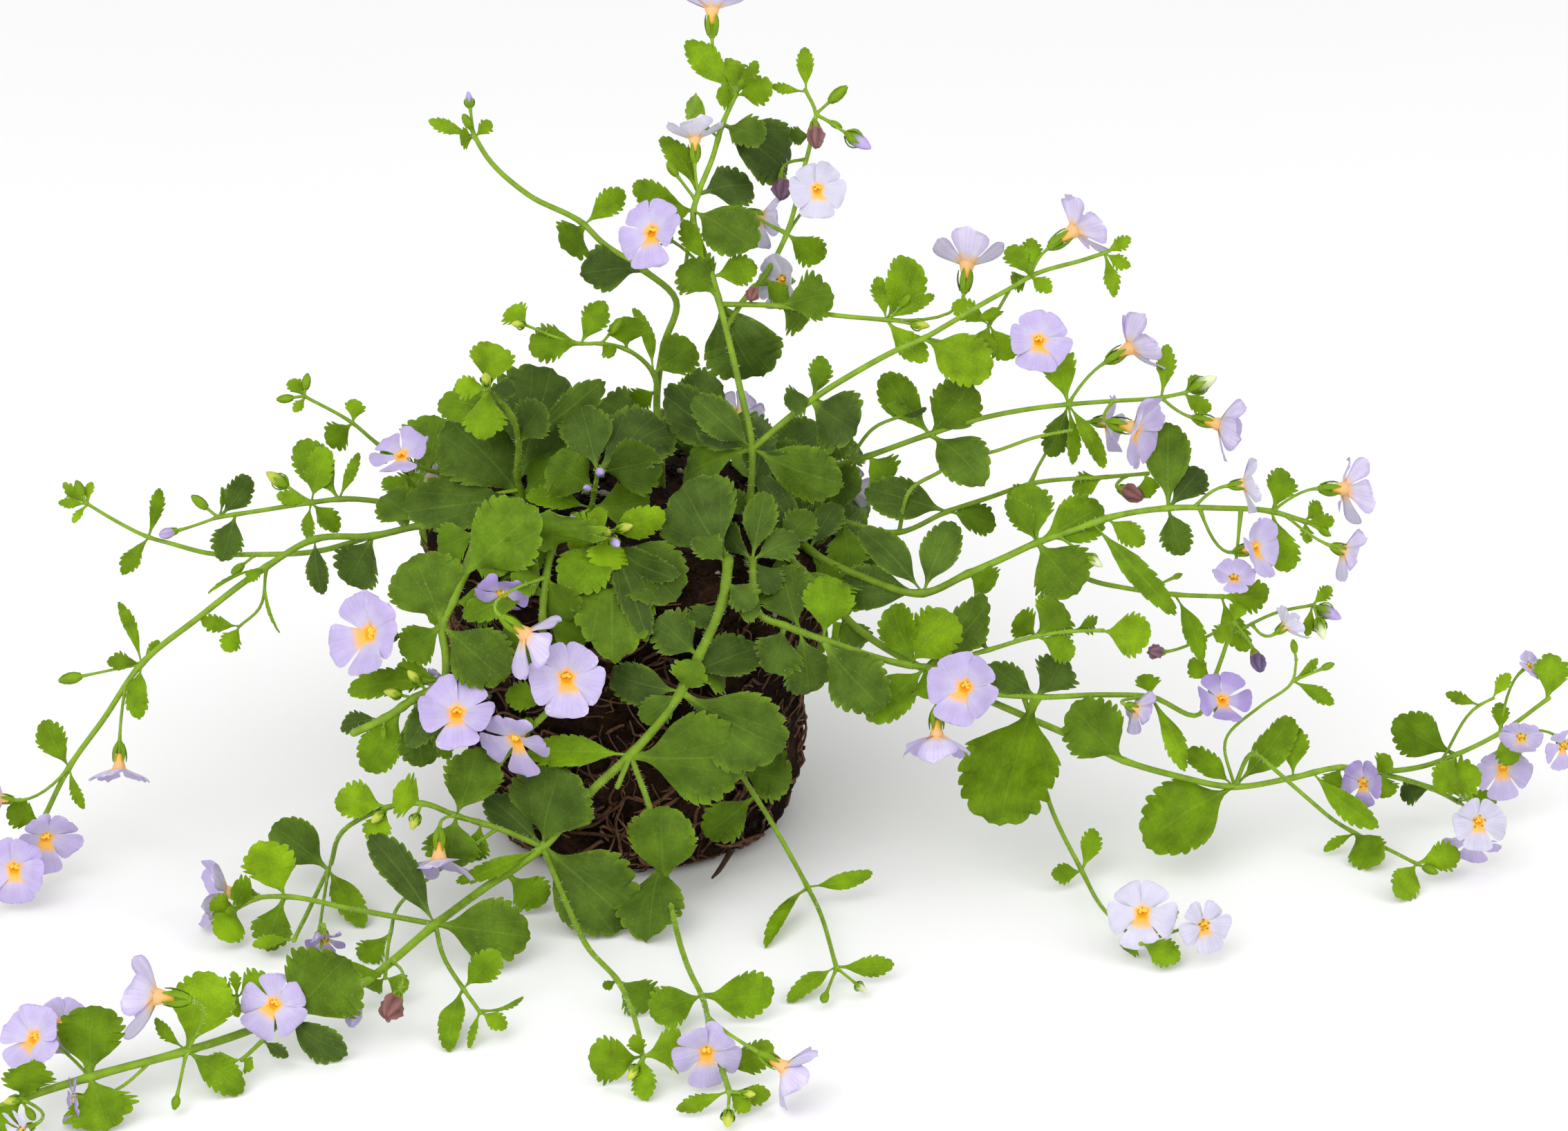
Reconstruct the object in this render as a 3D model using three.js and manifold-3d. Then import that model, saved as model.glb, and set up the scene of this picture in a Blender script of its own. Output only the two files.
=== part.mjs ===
import * as THREE from 'three';
import Module from 'manifold-3d';

const wasm = await Module();
wasm.setup();

const { degToRad, lerp } = THREE.MathUtils;

// A snowflake bacopa, knocked out of its pot: a pot-shaped root ball with leafy stems
// that rise from its soil, hang over its rim and trail along the surface it stands on.
// Millimetres, +Z up, origin under the middle of the root ball, the front towards -Y.

// Driving sizes of the root ball
const BALL = {
  height: 92, footRadius: 43, topRadius: 57, sides: 20, rows: 4, bevel: 5, footRise: 3.5, rimDrop: 4,
};
const LUMPS = [
  { size: 1.1, waves: 3, climb: 0.11 },
  { size: 0.77, waves: 7, climb: -0.17 },
];
const SOIL = {
  mound: 4, shoulderRadius: 31, holeDepth: 9, holeGap: 0.35, holeSides: 4, holeTop: 12,
  stemLift: 1, collar: 1.5,
};

// Driving sizes of stems, leaves, buds and blooms
const STEM_SIDES = 4;
const STALK = { radius: 0.6, sides: 3, pull: 0.4 };
const BLADE = {
  thickness: 1.3, middle: 0.45, arch: 0.07, fold: 0.1, sunk: 0.4, middleLength: 23, smallLength: 13,
};
const BUD = { clearHeight: 3, widest: 0.3, widestBack: 0.55, tip: 0.1, stalkedFrom: 1 };
const CLEAR_HEIGHT = 1.2;
const HALF_WAY = 0.5;
const FIRST_NORMAL = [0.31, -0.95, 0.1];

// A leaf sways about its midrib, each by its own part of the most that a leaf sways
const SWAY = { most: 28, perAcross: 3.1, perUp: 1.7 };

// Half outlines of a blade, up one side from its stalk: share of the length, share of the width
const SIDES = {
  large: [[0.38, 0.46], [0.53, 0.4], [0.66, 0.47], [0.84, 0.34]],
  middle: [[0.44, 0.48], [0.74, 0.42]],
  small: [[0.56, 0.5]],
};

// The five lobes of a bloom: angle from its upper side, half width and reach as shares of its size
const LOBES = [
  [-34, 0.19, 0.46], [34, 0.19, 0.46], [104, 0.21, 0.49], [180, 0.24, 0.53], [256, 0.21, 0.49],
];

// Shares of a bloom's size
const BLOOM = {
  notch: 0.17, notchBack: 0.06, neck: 0.12, cup: 0.12, thickness: 0.085, shoulder: 0.84,
  shoulderBack: 0.02, tube: 0.34, clearance: 0.56, smallNotch: 0.3,
};
const CALYX = { length: 0.2, front: 0.075, gap: 0.3, sunk: 0.15 };
const SHUT = { belly: 0.16, bellyBack: 0.1, tip: 0.05, tipFront: 0.2 };
const SHUT_KINDS = ['withered', 'closed'];
const OWN_BLOOM_SIZE = 16.5;
const STEEPEST_LOOK = 0.35;

// The chart. The plant is laid out as a grower sees it from the front, a little from above:
// each place is so far across and so far up on an upright card through the ball's foot.
const EYE = { distance: 1400, fall: degToRad(22), across: 42.8, up: 71.4 };
const RIGHT = new THREE.Vector3(1, 0, 0);
const CARD_UP = new THREE.Vector3(0, Math.sin(EYE.fall), Math.cos(EYE.fall));
const SIGHT = new THREE.Vector3(0, Math.cos(EYE.fall), -Math.sin(EYE.fall));
const EYE_POINT = RIGHT.clone().multiplyScalar(EYE.across)
  .addScaledVector(CARD_UP, EYE.up)
  .addScaledVector(SIGHT, -EYE.distance);
const LOWEST_STEM = 2.5;

const COLOURS = {
  soil: { color: 0x2e1f17, roughness: 0.95, metalness: 0 },
  leaf: { color: 0x5c8f26, roughness: 0.6, metalness: 0 },
  lilac: { color: 0xcfc0ea, roughness: 0.55, metalness: 0 },
  white: { color: 0xece9f6, roughness: 0.55, metalness: 0 },
};

// The plant, stem by stem. A stem has shoots, and the first one stands at its foot in the soil.
// route: across and up on the chart, how far back, and a lowest height where it lies on the surface.
// leaves: point of the route, tip across, tip up, farther, width, turn about the midrib.
// blooms: point of the route, middle across, middle up, farther, turn right, turn up, size, spin, kind.
// buds: point of the route, tip across, tip up, farther, length.
const STEMS = {
  long_centre: [
    {
      foot: [33, -16], radius: [1.5, 0.9],
      route: [[32.5, 84, -17], [33, 91, -17], [33.6, 105, -16], [30, 123, -8], [26, 140, 0], [22, 155, 8],
        [20, 161, 11], [16.6, 174, 18], [18, 179, 21], [22, 189, 27], [25, 199, 33], [29, 208, 39]],
      leaves: [[2, 60, 95, -6, 15, 0], [2, 12, 97, 16, 12, 0], [0.2, 52, 84, 5, 14, -40],
        [1, 36, 110, 12, 12, 30], [2, 16.6, 120, -6, 10, 30], [2, 8, 121, 14, 14, 0],
        [2, 17, 113, 4, 10, 0], [2, 38, 113, 10, 9, 0], [4.6, 35, 125, 8, 22, 0],
        [4.6, 13, 158.6, 0, 13, 0], [5, 35, 158, -2, 9, 0], [7, 34, 163, -8, 16, 0],
        [8, 33.6, 181.5, 8, 13, 0], [10, 37, 194, -5, 10, 0], [10, 44, 185, 8, 18, 0]],
      blooms: [[11, 22, 235, 3, 0, 94, 20, 0, 'lilac'], [8, 17, 197, 2, 0, 98, 17, 0, 'white'],
        [5, 3, 168.6, -6, -35, 12, 22, -10, 'lilac']],
    },
    {
      radius: [1.1, 0.7],
      route: [[26, 140, 0], [31, 148, 8], [37, 155, 14], [43.6, 167.4, 20], [48, 184, 27], [51, 196, 32],
        [52, 202, 35], [49, 209, 38]],
      leaves: [[3, 54.4, 160, 2, 9, 0]],
      blooms: [[3, 52.6, 180.6, -6, 5, 5, 17, 0, 'white'], [3, 38, 171.6, 8, 108, -20, 16.4, 0, 'lilac'],
        [1.7, 41, 154, 0, -42, 0, 16.4, 0, 'white'], [4.4, 42, 180, 4, 0, -60, 16, 0, 'withered'],
        [5.4, 52, 195, -8, 10, -60, 16, 0, 'withered'],
        [1, 33.6, 149.6, -6, -10, -40, 12, 0, 'withered']],
      buds: [[6, 61, 210, 0, 7], [6, 68, 192, -2, 9]],
    },
    {
      radius: [1, 0.8],
      route: [[24, 147, 4], [42, 146.4, 2], [56, 144, 0], [73, 142.4, -2]],
      leaves: [[1, 57, 150, -2, 14, 0], [1, 50, 142, 4, 11, 0], [3, 81, 160, 3, 13, 0]],
      blooms: [[3, 96, 161, 6, -20, 108, 21, 0, 'lilac']],
      buds: [[3, 85, 140.6, -3, 6]],
    },
    {
      radius: [1.2, 0.7],
      route: [[33.6, 105, -16], [44, 114, -14], [51, 119.4, -13], [63, 127, -12], [76, 134, -11],
        [83, 137, -10], [90, 141, -9], [100, 147, -8], [109, 152, -7], [114, 155, -6], [130, 160, -5],
        [136, 162, -5]],
      leaves: [[2, 43.4, 118, -3, 9, 0], [2, 64, 110, -4, 19, 0], [5, 102.4, 126, -4, 15, 0]],
      blooms: [[9, 129, 170, 3, 100, 35, 22, 0, 'lilac'], [5, 117, 137, -6, 10, 10, 19, 15, 'lilac']],
    },
    {
      radius: [0.6, 0.6],
      route: [[108, 151, -7], [102, 140.6, -6]],
    },
    {
      radius: [0.8, 0.6],
      route: [[16.6, 174, 18], [14.6, 160, 21], [13, 150, 22]],
    },
  ],
  back_left_top: [
    {
      foot: [8, 14], radius: [1.5, 0.9],
      route: [[7, 107, 14], [6, 117, 16], [8, 135, 22], [11.6, 148, 27], [2, 157, 30], [-10, 165, 33],
        [-15, 170, 35], [-31.4, 178.8, 38], [-43, 189.4, 41], [-47, 196, 43]],
      leaves: [[4, -16, 156, -4, 13, 0], [6, -21, 163, -4, 12, 0], [0.6, 26, 124, 10, 16, 0],
        [0.4, -12, 116, 8, 18, 0]],
    },
    {
      radius: [1, 0.5],
      route: [[6, 117, 16], [5, 127, 14], [-3, 134, 12], [-10, 135.6, 11], [-16, 135.6, 10],
        [-22, 137, 9], [-32, 141, 8]],
      leaves: [[2, -3, 143.4, -2, 11, 0], [4, -31, 135, -3, 11, 0], [1, 17, 135, 2, 13, 0]],
      buds: [[3, -4, 142.6, -4, 6]],
    },
  ],
  right_upper: [
    {
      foot: [42, -3], radius: [1.3, 0.7],
      route: [[45, 88, -5], [55, 99, -6], [67, 103, -8], [85, 109.4, -10], [100, 114, -10],
        [116, 117, -9], [125, 118, -8], [138, 119, -7], [152, 120, -6], [159, 121.4, -6]],
      leaves: [[0.3, 63, 87, 4, 10, 0], [1, 36.6, 104, 4, 10, 0], [1, 65, 93, -4, 13, 0],
        [1, 48, 93, 4, 12, 0], [2, 73, 95, 5, 12, 0], [3, 71.4, 127, 3, 11, 0], [3, 97, 124, -4, 15, 0],
        [3, 101, 96, -10, 14, 0], [6, 120.4, 137, -3, 10, 0]],
      blooms: [[6, 145, 135.6, 3, 102, 30, 20, 0, 'lilac'], [8, 171, 111.6, -2, 80, -15, 19, 0, 'lilac'],
        [7, 147, 110.6, -10, 60, -12, 22, 20, 'lilac']],
      buds: [[9, 168, 126, 0, 9]],
    },
    {
      radius: [0.7, 0.6],
      route: [[61, 101, -7], [70, 112, -9], [76, 114.4, -10]],
    },
  ],
  right_second: [
    {
      foot: [50, -9], radius: [1.2, 0.7],
      route: [[52, 85, -11], [60, 84, -14], [76, 81, -16], [90, 87, -13], [102, 91, -11], [114, 95, -9],
        [136, 97, -8], [148, 98, -7]],
      leaves: [[1, 53, 89, 4, 9, 0], [3, 67, 94, -4, 12, 0], [3, 104, 83, 3, 9, 0], [2, 65, 72, 3, 12, 0],
        [1, 47, 84, -4, 12, 0], [1, 62, 70, -4, 12, 0], [0, 49, 92, 0, 9, 0]],
      blooms: [[5, 138, 113, 3, 75, 0, 17, 0, 'behind'], [6.5, 144, 92, -3, 50, -20, 16, 0, 'withered']],
    },
    {
      radius: [0.8, 0.6],
      route: [[76, 81, -16], [80, 94, -17], [87, 98, -17], [96, 103, -16], [102, 104, -16],
        [116, 108.6, -15], [126, 110.6, -14]],
    },
  ],
  right_main: [
    {
      foot: [46, -22], radius: [1.6, 0.9],
      route: [[50, 76, -25], [66, 68, -34], [83, 63.4, -38], [96, 69, -34], [106, 73.4, -31],
        [116, 78, -28], [126, 81.4, -26], [136, 85, -24], [154, 88, -20], [169, 88, -18], [184, 87, -16],
        [194, 84, -16]],
      leaves: [[0, 36, 97, 3, 9, 0], [2, 58, 66, 8, 13, 0], [2, 91.6, 84, 3, 11, 0],
        [2, 65, 82, 2, 10, 0], [3, 104, 66, 4, 10, 0], [5, 113, 95, 3, 13, 0], [5, 135.6, 89, 6, 14, 0],
        [5, 128, 64, -5, 19, 0], [8, 154, 113, 4, 13, 0], [8, 158, 74.4, -3, 9, 0],
        [8, 164, 100, 5, 10, 0], [10, 187, 99.6, 2, 9, 0], [10, 188, 69, 4, 10, 0]],
      blooms: [[10, 207, 93.6, 2, 114, 0, 20, 0, 'lilac'],
        [10.4, 206.4, 75, -6, 105, -20, 16.4, 0, 'lilac'], [8.5, 177.6, 95, -4, 88, 5, 16.4, 0, 'white'],
        [8.6, 181, 77, -8, 50, 10, 18, 0, 'lilac'], [9.4, 173, 69, -14, 0, 50, 13, 0, 'lilac']],
      buds: [[5.6, 135, 71, -5, 6]],
    },
    {
      radius: [1, 0.8],
      route: [[116, 78, -28], [124, 71, -26], [132, 67, -25], [141, 65, -25], [156, 63, -24],
        [170, 62.4, -24]],
      leaves: [[5, 183, 63, -3, 9.5, 0]],
    },
  ],
  right_low: [
    {
      foot: [33, -38], radius: [1.5, 0.8],
      route: [[33.6, 73, -43], [34, 65, -51], [36, 57, -54], [43, 54, -55], [54, 50, -54],
        [79, 42.6, -52], [84, 42, -51], [100, 35, -47], [116, 33.4, -43], [136, 34, -39],
        [149, 33.4, -37], [163, 28.4, -35], [167, 38, -33], [173, 55, -31]],
      leaves: [[3.4, 42, 71, 6, 16, 0], [4, 56, 68.6, 0, 14, 0], [4, 71, 30, -5, 17, 0],
        [3, 38, 40.6, -3, 14, 0], [5, 92, 57, -4, 15, 0], [6, 86, 33, -7, 10, 0],
        [6, 67.6, 26, -5, 12, 0], [3.4, 50, 34, 5, 14, 0], [6, 103, 61, 3, 12, 0],
        [5.4, 74, 60, 3, 11, 0], [8, 124, 45, 0, 13, 0], [8, 102, 43, -3, 9, 0], [8, 106, -4, -6, 27, 0]],
      blooms: [[6, 94.6, 36.4, -16, -14, 5, 22, 20, 'lilac'], [6, 87, 19.6, -12, 15, -88, 20, 0, 'lilac'],
        [10, 146, 29.4, -6, 112, -20, 14, 0, 'lilac'], [12, 170, 33.6, -8, 10, 30, 17, 0, 'lilac'],
        [13, 150, 46.4, -4, -40, 0, 13, 0, 'withered'], [13, 180, 43, -4, 20, -50, 14, 0, 'withered']],
    },
    {
      radius: [0.9, 0.7],
      route: [[84, 42, -51], [102, 47, -45], [116, 51, -42], [126, 52.4, -40], [135, 52.6, -39]],
      leaves: [[4, 149, 51.4, 0, 12.5, 0], [2, 124, 60, 2, 14, 0], [2, 110, 57, 3, 9, 0],
        [1, 95, 54, 4, 10, 0]],
    },
    {
      radius: [0.6, 0.6],
      route: [[173, 52, -31], [186, 58, -30], [196, 60, -29]],
      blooms: [[0.4, 189, 54.6, -8, 90, 35, 13, 0, 'white']],
      buds: [[2, 204, 56, -3, 8], [2, 199, 50, -4, 7]],
    },
    {
      radius: [1, 0.7],
      route: [[112, 34, -43], [116, 21, -47], [118.6, 6, -52], [129, -17, 0, 5], [137, -30, 0, 6],
        [146, -38, 0, 6]],
      blooms: [[4, 146.4, -29, -17, -5, 5, 21, 0, 'white'], [5, 165, -32.6, -3, 20, 5, 16, -10, 'white']],
    },
  ],
  right_long: [
    {
      foot: [38, -30], radius: [1.5, 0.9],
      route: [[41, 76, -34], [50, 68, -38], [62, 55, -40], [90, 38, -38], [112, 28, -42], [126, 22, -44],
        [141, 15, -44], [156, 10.6, -42], [173, 7.4, -38], [190, 10, -32], [204, 13, -28],
        [214, 11.4, -24], [230, 7, -18], [238, 3, -12]],
      leaves: [[1.8, 64, 45, 6, 12, 0], [6, 126, 31, -5, 18, 0], [8, 147, -8, -4, 20, 0],
        [8, 189.6, 28, 6, 10, 0], [12, 244.6, 11, -3, 11, 0], [1.4, 57, 68, 4, 15, 0]],
      blooms: [[10.6, 209.6, 8.6, -8, -35, 0, 14, 0, 'lilac'], [13, 251, 12, -6, 0, -22, 17, 0, 'lilac'],
        [13, 244, -3, -40, 0, -8, 16, 0, 'white'], [13, 242, -10, 2, 0, -62, 17, 0, 'lilac']],
    },
    {
      radius: [1.1, 0.8],
      route: [[214, 11.4, -24], [228, 13.4, -22], [237, 16.6, -20], [250, 23, -18], [264, 33, -15]],
      leaves: [[2, 219.6, 27.4, 3, 13, 0], [2, 231, 6.6, -4, 10, 0], [4, 265, 46, 0, 11, 0]],
      blooms: [[3, 256, 21, -8, -15, -40, 13, 0, 'lilac'], [3, 269, 18.6, 0, 20, -30, 14, 0, 'lilac'],
        [3, 259, 43, -3, 40, 30, 9, 0, 'lilac']],
    },
    {
      radius: [0.6, 0.5],
      route: [[233, 15, -21], [244, 31, -20], [248, 33, -20]],
    },
    {
      radius: [0.9, 0.7],
      route: [[173, 7.4, -38], [179, 17, -40], [184, 13, -43], [192, 6, -46], [208, -6, 0, 6],
        [217, -10.4, 0, 6], [226, -15, 0, 6]],
      leaves: [[4, 214, -16.6, -3, 11, 0]],
    },
    {
      radius: [0.6, 0.5],
      route: [[173, 7.4, -38], [171, 22, -42], [181, 31, -42], [190, 38, -41], [191, 44, -41]],
    },
  ],
  front_main: [
    {
      foot: [27, -40], radius: [1.8, 1.3],
      route: [[26.6, 73, -47], [25, 61, -57], [18, 45, -60], [13, 35, -61], [-1.6, 16.6, -61],
        [-12, 7, -62], [-27, -10, -66, 12], [-44, -22, 0, 10], [-58, -32.4, 0, 11], [-80, -50, 0, 8],
        [-101, -59, 0, 11], [-116, -64.6, 0, 7], [-130, -69, 0, 10], [-158, -76.6, 0, 11],
        [-178, -83, 0, 8], [-188, -87, 0, 7]],
      leaves: [[0, 12.6, 95, 4, 25, 0], [2.6, 36, 48, 5, 13, 0], [2, 6, 56, -2, 14, 0],
        [1, 36, 59, 3, 10, 0], [3, 17.4, 44, -6, 11, 0], [3, 43, 19, 4, 23, 0], [3, -8, 40, 3, 12, 0],
        [3, 1, 27, 3, 9, 0], [2.4, 26, 40, 6, 13, 0], [4, 32, 16, -6, 26, 0], [4, -31.6, 17.4, 2, 9, 0],
        [6, -22, 13, -5, 25, 0], [6, -1.6, -32, -6, 24, 0], [6, -43, 5, 3, 11, 0],
        [6.6, -26, -26, 3, 12, 0], [8, -31, -36, -3, 19, 0], [8, -77, -6.6, 0, 10, 0],
        [10, -84, -42, -2, 23, -15], [10, -84, -71, -3, 11, 0], [9, -79, -44, 5, 10, 0],
        [12, -124, -46, 4, 17, 0], [12, -114, -81, -3, 9, 0], [13, -156.6, -56, 3, 20, 0],
        [13, -153, -92, -4, 19, 0], [14, -175, -72, -7, 13, 0], [14, -186, -94, -3, 9, 0]],
      blooms: [[12, -142, -53, -8, -95, 5, 25, -20, 'lilac'],
        [13, -175.6, -64.6, -6, -30, 18, 21, 30, 'lilac'], [13, -166, -61, 7, 0, 10, 17, 0, 'lilac'],
        [10, -105, -55.5, -8, 0, 5, 20, 30, 'lilac'], [9.6, -90, -38, 8, 10, -60, 12, 0, 'lilac'],
        [8.6, -71, -57, -6, -15, -30, 21, 0, 'withered'], [9, -82, -59, -5, -25, -75, 16, 0, 'closed'],
        [12.4, -164, -83, 4, -70, 0, 14, 0, 'lilac'], [14, -179, -93, -3, -50, -20, 16, 0, 'white']],
      buds: [[14, -183, -84, -3, 6]],
    },
    {
      radius: [1.1, 0.8],
      route: [[-27, -10, -66, 12], [-19, -29, 0, 10], [-13.6, -39.6, 0, 9], [-5.4, -48.6, 0, 9],
        [-3, -53, 0, 9], [1, -65, 0, 8], [2, -71, 0, 8]],
      leaves: [[3, 5, -57, 0, 12, 0], [6, -13.8, -71.6, -2, 14, 0], [6, 16, -67.6, 2, 12.5, 0]],
      buds: [[6, -2.4, -77.6, -4, 6]],
    },
    {
      radius: [1.1, 0.9],
      route: [[-1.6, 16.6, -61], [5, -2, -63], [8, -15, -65, 8], [11, -31, 0, 9], [16, -47, 0, 9],
        [19, -53, 0, 9], [22, -65, 0, 8], [27, -81, 0, 6]],
      leaves: [[2.3, 7, 1, -6, 20, 0], [2, 3, -38, 4, 18, 0], [5, 4.4, -59, -3, 12, 0],
        [5, 40, -53, 2, 13.5, 0], [6.6, 39.6, -67.4, 3, 9, 0]],
      blooms: [[5, 20.4, -70.6, -14, 0, -30, 21, 0, 'lilac'],
        [5.2, 45, -75, -4, 90, -30, 20, 0, 'lilac']],
      buds: [[7, 26.4, -91, -2, 7]],
    },
    {
      radius: [1, 0.8],
      route: [[13, 35, -61], [20, 28, -58], [30.4, 11, -49], [40.4, -5, -48], [49.6, -21.6, 0, 6],
        [52.8, -28, 0, 6], [58, -45, 0, 5]],
      leaves: [[2, 45, 9.5, -2, 15, 0], [2.4, 20, -7, 0, 12, 0]],
    },
    {
      radius: [1.1, 0.8],
      route: [[-27, -10, -66, 12], [-40, -4.6, -68], [-52, -1, -70], [-62, 2.6, -72], [-72, 1.4, -74],
        [-80, -2, -76], [-89, -16.6, 0, 9], [-96, -31, 0, 7], [-99, -37, 0, 7]],
      leaves: [[2, -46, 18.6, -3, 16, 0], [2, -54, -16, -1, 16, 0], [3, -70, 6, -3, 12, 0],
        [4, -87, 4, -2, 10.5, 0], [6, -105, -4, 4, 13, 0]],
      blooms: [[1.6, -57, -16, -11, 0, -80, 21, 0, 'lilac'], [6, -92, -36.5, 2, 0, -30, 9, 0, 'closed']],
      buds: [[3, -65, -5, -6, 6], [4, -76.4, -3, -5, 6]],
    },
    {
      radius: [1, 0.8],
      route: [[-58, -32.4, 0, 11], [-84, -27.6, 0, 14], [-101.6, -24.4, 0, 14], [-110, -25, 0, 12],
        [-116, -28, 0, 10]],
      leaves: [[2, -107, -40, -3, 11.5, 0], [2, -108, -8, -6, 15, 0], [3, -117, -22, -3, 9, 0],
        [4, -120, -37, -5, 10, 0]],
      blooms: [[3.6, -121, -23, 8, -78, 5, 20, 20, 'lilac']],
      buds: [[4, -118, -29, -8, 6]],
    },
    {
      radius: [0.9, 0.7],
      route: [[-58, -32.4, 0, 11], [-56, -41, 0, 9], [-50, -51, 0, 8], [-45, -58, 0, 7]],
      leaves: [[2, -40, -40, -2, 9, 0]],
    },
    {
      radius: [0.8, 0.7],
      route: [[-101, -59, 0, 11], [-108, -66, 0, 8], [-114, -71.6, 0, 7]],
    },
    {
      radius: [0.7, 0.6],
      route: [[-101, -59, 0, 11], [-115, -56, 0, 15], [-115.6, -53, 0, 17]],
      leaves: [[2, -124, -52, -4, 9.5, 0], [2, -106, -47.6, 3, 9, 0]],
    },
    {
      radius: [0.8, 0.6],
      route: [[-40, -4.6, -68], [-56, -16, -74], [-67, -25, 0, 9], [-71, -35, 0, 9], [-72.6, -48, 0, 8]],
    },
    {
      radius: [1, 1],
      route: [[-1.6, 16.6, -61], [-5.4, 7.4, -66]],
    },
  ],
  left_upper: [
    {
      foot: [-40, -2], radius: [1.3, 0.8],
      route: [[-44, 90, -3], [-64, 89, -5], [-86, 90.6, -6], [-94, 89.6, -6], [-108, 87.4, -6],
        [-121, 85.4, -6]],
      leaves: [[2, -97.4, 107.4, 2, 11, 0], [4.6, -120, 73, -4, 9, 0], [1, -72, 86, 8, 9, 0]],
      blooms: [[5, -136, 80.6, -3, -75, -15, 10, 0, 'closed']],
      buds: [[3, -107, 98.4, 3, 8], [5, -128.6, 91.6, 0, 6]],
    },
  ],
  left_middle: [
    {
      foot: [-44, -14], radius: [1.4, 0.9],
      route: [[-50, 84, -16], [-62, 83, -17], [-76, 80, -18], [-93, 79, -19], [-107, 71, -22],
        [-127, 56, -26], [-143, 43, -30], [-154, 27, -34], [-164, 13, -38], [-172, -3, -42, 6],
        [-181, -19, 0, 7], [-188, -27, 0, 6]],
      leaves: [[2, -82.6, 66, 6, 15, 0], [1, -74, 92, 5, 12, 0]],
      blooms: [[6.4, -149.6, 10.6, -3, -10, -86, 18, 0, 'lilac'],
        [8, -185, 4, -3, -90, 5, 14, 0, 'lilac'], [9, -170, -8.6, -11, 30, -30, 20, 0, 'lilac'],
        [9.6, -180.6, -16.6, -16, -8, -5, 20, 0, 'lilac']],
      buds: [[6, -167, 38, 0, 7]],
    },
    {
      radius: [1.1, 0.6],
      route: [[-76, 80, -18], [-93, 75.4, -13], [-110, 74.6, -11], [-124, 75, -10], [-134, 77.6, -10],
        [-141, 79.6, -10], [-150, 84, -10], [-159, 89.4, -10]],
    },
    {
      radius: [0.6, 0.5],
      route: [[-107, 71, -22], [-109, 59, -26], [-115, 53.6, -27]],
    },
  ],
  left_high: [
    {
      foot: [-34, 10], radius: [1.1, 0.6],
      route: [[-40, 95, 9], [-60, 99, 7], [-74, 106, 5], [-82, 112.6, 5], [-96, 120.4, 5]],
      leaves: [[1, -57, 115, 4, 18, 0], [0.4, -40, 112, 4, 14, 0], [1, -68, 91, 3, 10, 0]],
    },
  ],
  crown_high: [
    {
      foot: [-32, -10], radius: [1.4, 1],
      route: [[-33, 91, -12], [-34.4, 97, -14], [-34, 107, -17], [-35.6, 114, -20], [-39.6, 119.4, -23],
        [-43, 123, -26]],
      leaves: [[5, -42, 136.4, 2, 12, 0], [5, -44.6, 108, -4, 12, 0], [2, -26.6, 118, -5, 12, 0],
        [1, -24, 129, 10, 28, 0], [2, -9.4, 125.4, 12, 9, 0], [3, -57, 120, 7, 11, 0],
        [0, -53.6, 114, -3, 23, 0], [0, -67, 87, -3, 16, 0], [0, -19, 104, 5, 14, 0]],
      blooms: [[0.4, -68.6, 105, -8, -25, 45, 19, -20, 'lilac']],
      buds: [[5, -43.6, 127, -6, 6]],
    },
  ],
  crown_left: [
    {
      foot: [-34, -26], radius: [1.6, 1.5],
      route: [[-44, 84, -38], [-49.6, 69, -50], [-53, 61, -54], [-56, 54, -56], [-55, 45, -58],
        [-55.6, 38, -60], [-64, 33, -62], [-73, 27, -64], [-81.6, 23, -66]],
      leaves: [[1, -28, 88, -14, 22, 0], [2, -40, 60, 6, 13, 0], [3, -64, 74, -3, 22, 0],
        [3, -68, 46, -2, 12, 0], [3, -38, 38, -2, 18, 0], [6, -62, 13, 4, 13, 0],
        [6.4, -78, 11, 5, 12, 0], [5, -70, 41, 4, 9, 0], [5, -66, 19, -4, 9, 0],
        [0.3, -57, 76, 5, 12, 0]],
      blooms: [[3, -79, 52, -6, -38, 5, 26, 70, 'lilac'], [5, -52, 30, -8, 0, 26, 23, 0, 'lilac'],
        [5, -60, 38.6, 2, -10, -40, 8, 0, 'behind']],
      buds: [[5.6, -66, 41, -6, 6], [6, -73, 35, -5, 6]],
    },
  ],
  crown_front: [
    {
      foot: [-22, -36], radius: [1.5, 1.1],
      route: [[-24, 78, -42], [-26, 68, -54], [-27, 56, -58], [-26, 44, -60], [-24, 32, -61],
        [-33, 22, -63], [-41, 12, -65], [-44.6, 5, -66]],
      leaves: [[1.5, -36, 72, 4, 16, 0], [1, -18, 56, -2, 16, 15], [0, -44, 84, -8, 20, -30],
        [0.4, -24, 86, -10, 27, 0], [1, -36, 66, -5, 9, 0], [2, -14, 50, 3, 15, 0],
        [3, -40, 50, 4, 14, 0], [4, -14, 44, 4, 11, 0]],
      blooms: [[1, -30, 50, -10, 118, -34, 22, 0, 'lilac'], [3, -20, 39, -10, 5, 0, 23, 0, 'lilac'],
        [5, -36, 19.5, -9, -30, -35, 22, 0, 'lilac'], [1.4, -39, 62, -2, -10, -50, 16.4, 0, 'behind']],
    },
  ],
  crown_middle: [
    {
      foot: [-6, -32], radius: [1.3, 0.9],
      route: [[-7, 78, -37], [-9, 81, -40]],
      leaves: [[1, -20, 80, -3, 12.5, 0], [1, 8, 86.6, -5, 9, 0], [1, -8, 69.6, -6, 12, 0],
        [0, -7, 46, -22, 23, 0], [0, 12, 61, -14, 20, -30], [0, -20, 64, -18, 15, 0]],
      buds: [[1, -1, 83, -6, 6], [1, -5, 77, -9, 6]],
    },
  ],
  crown_top: [
    {
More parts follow.
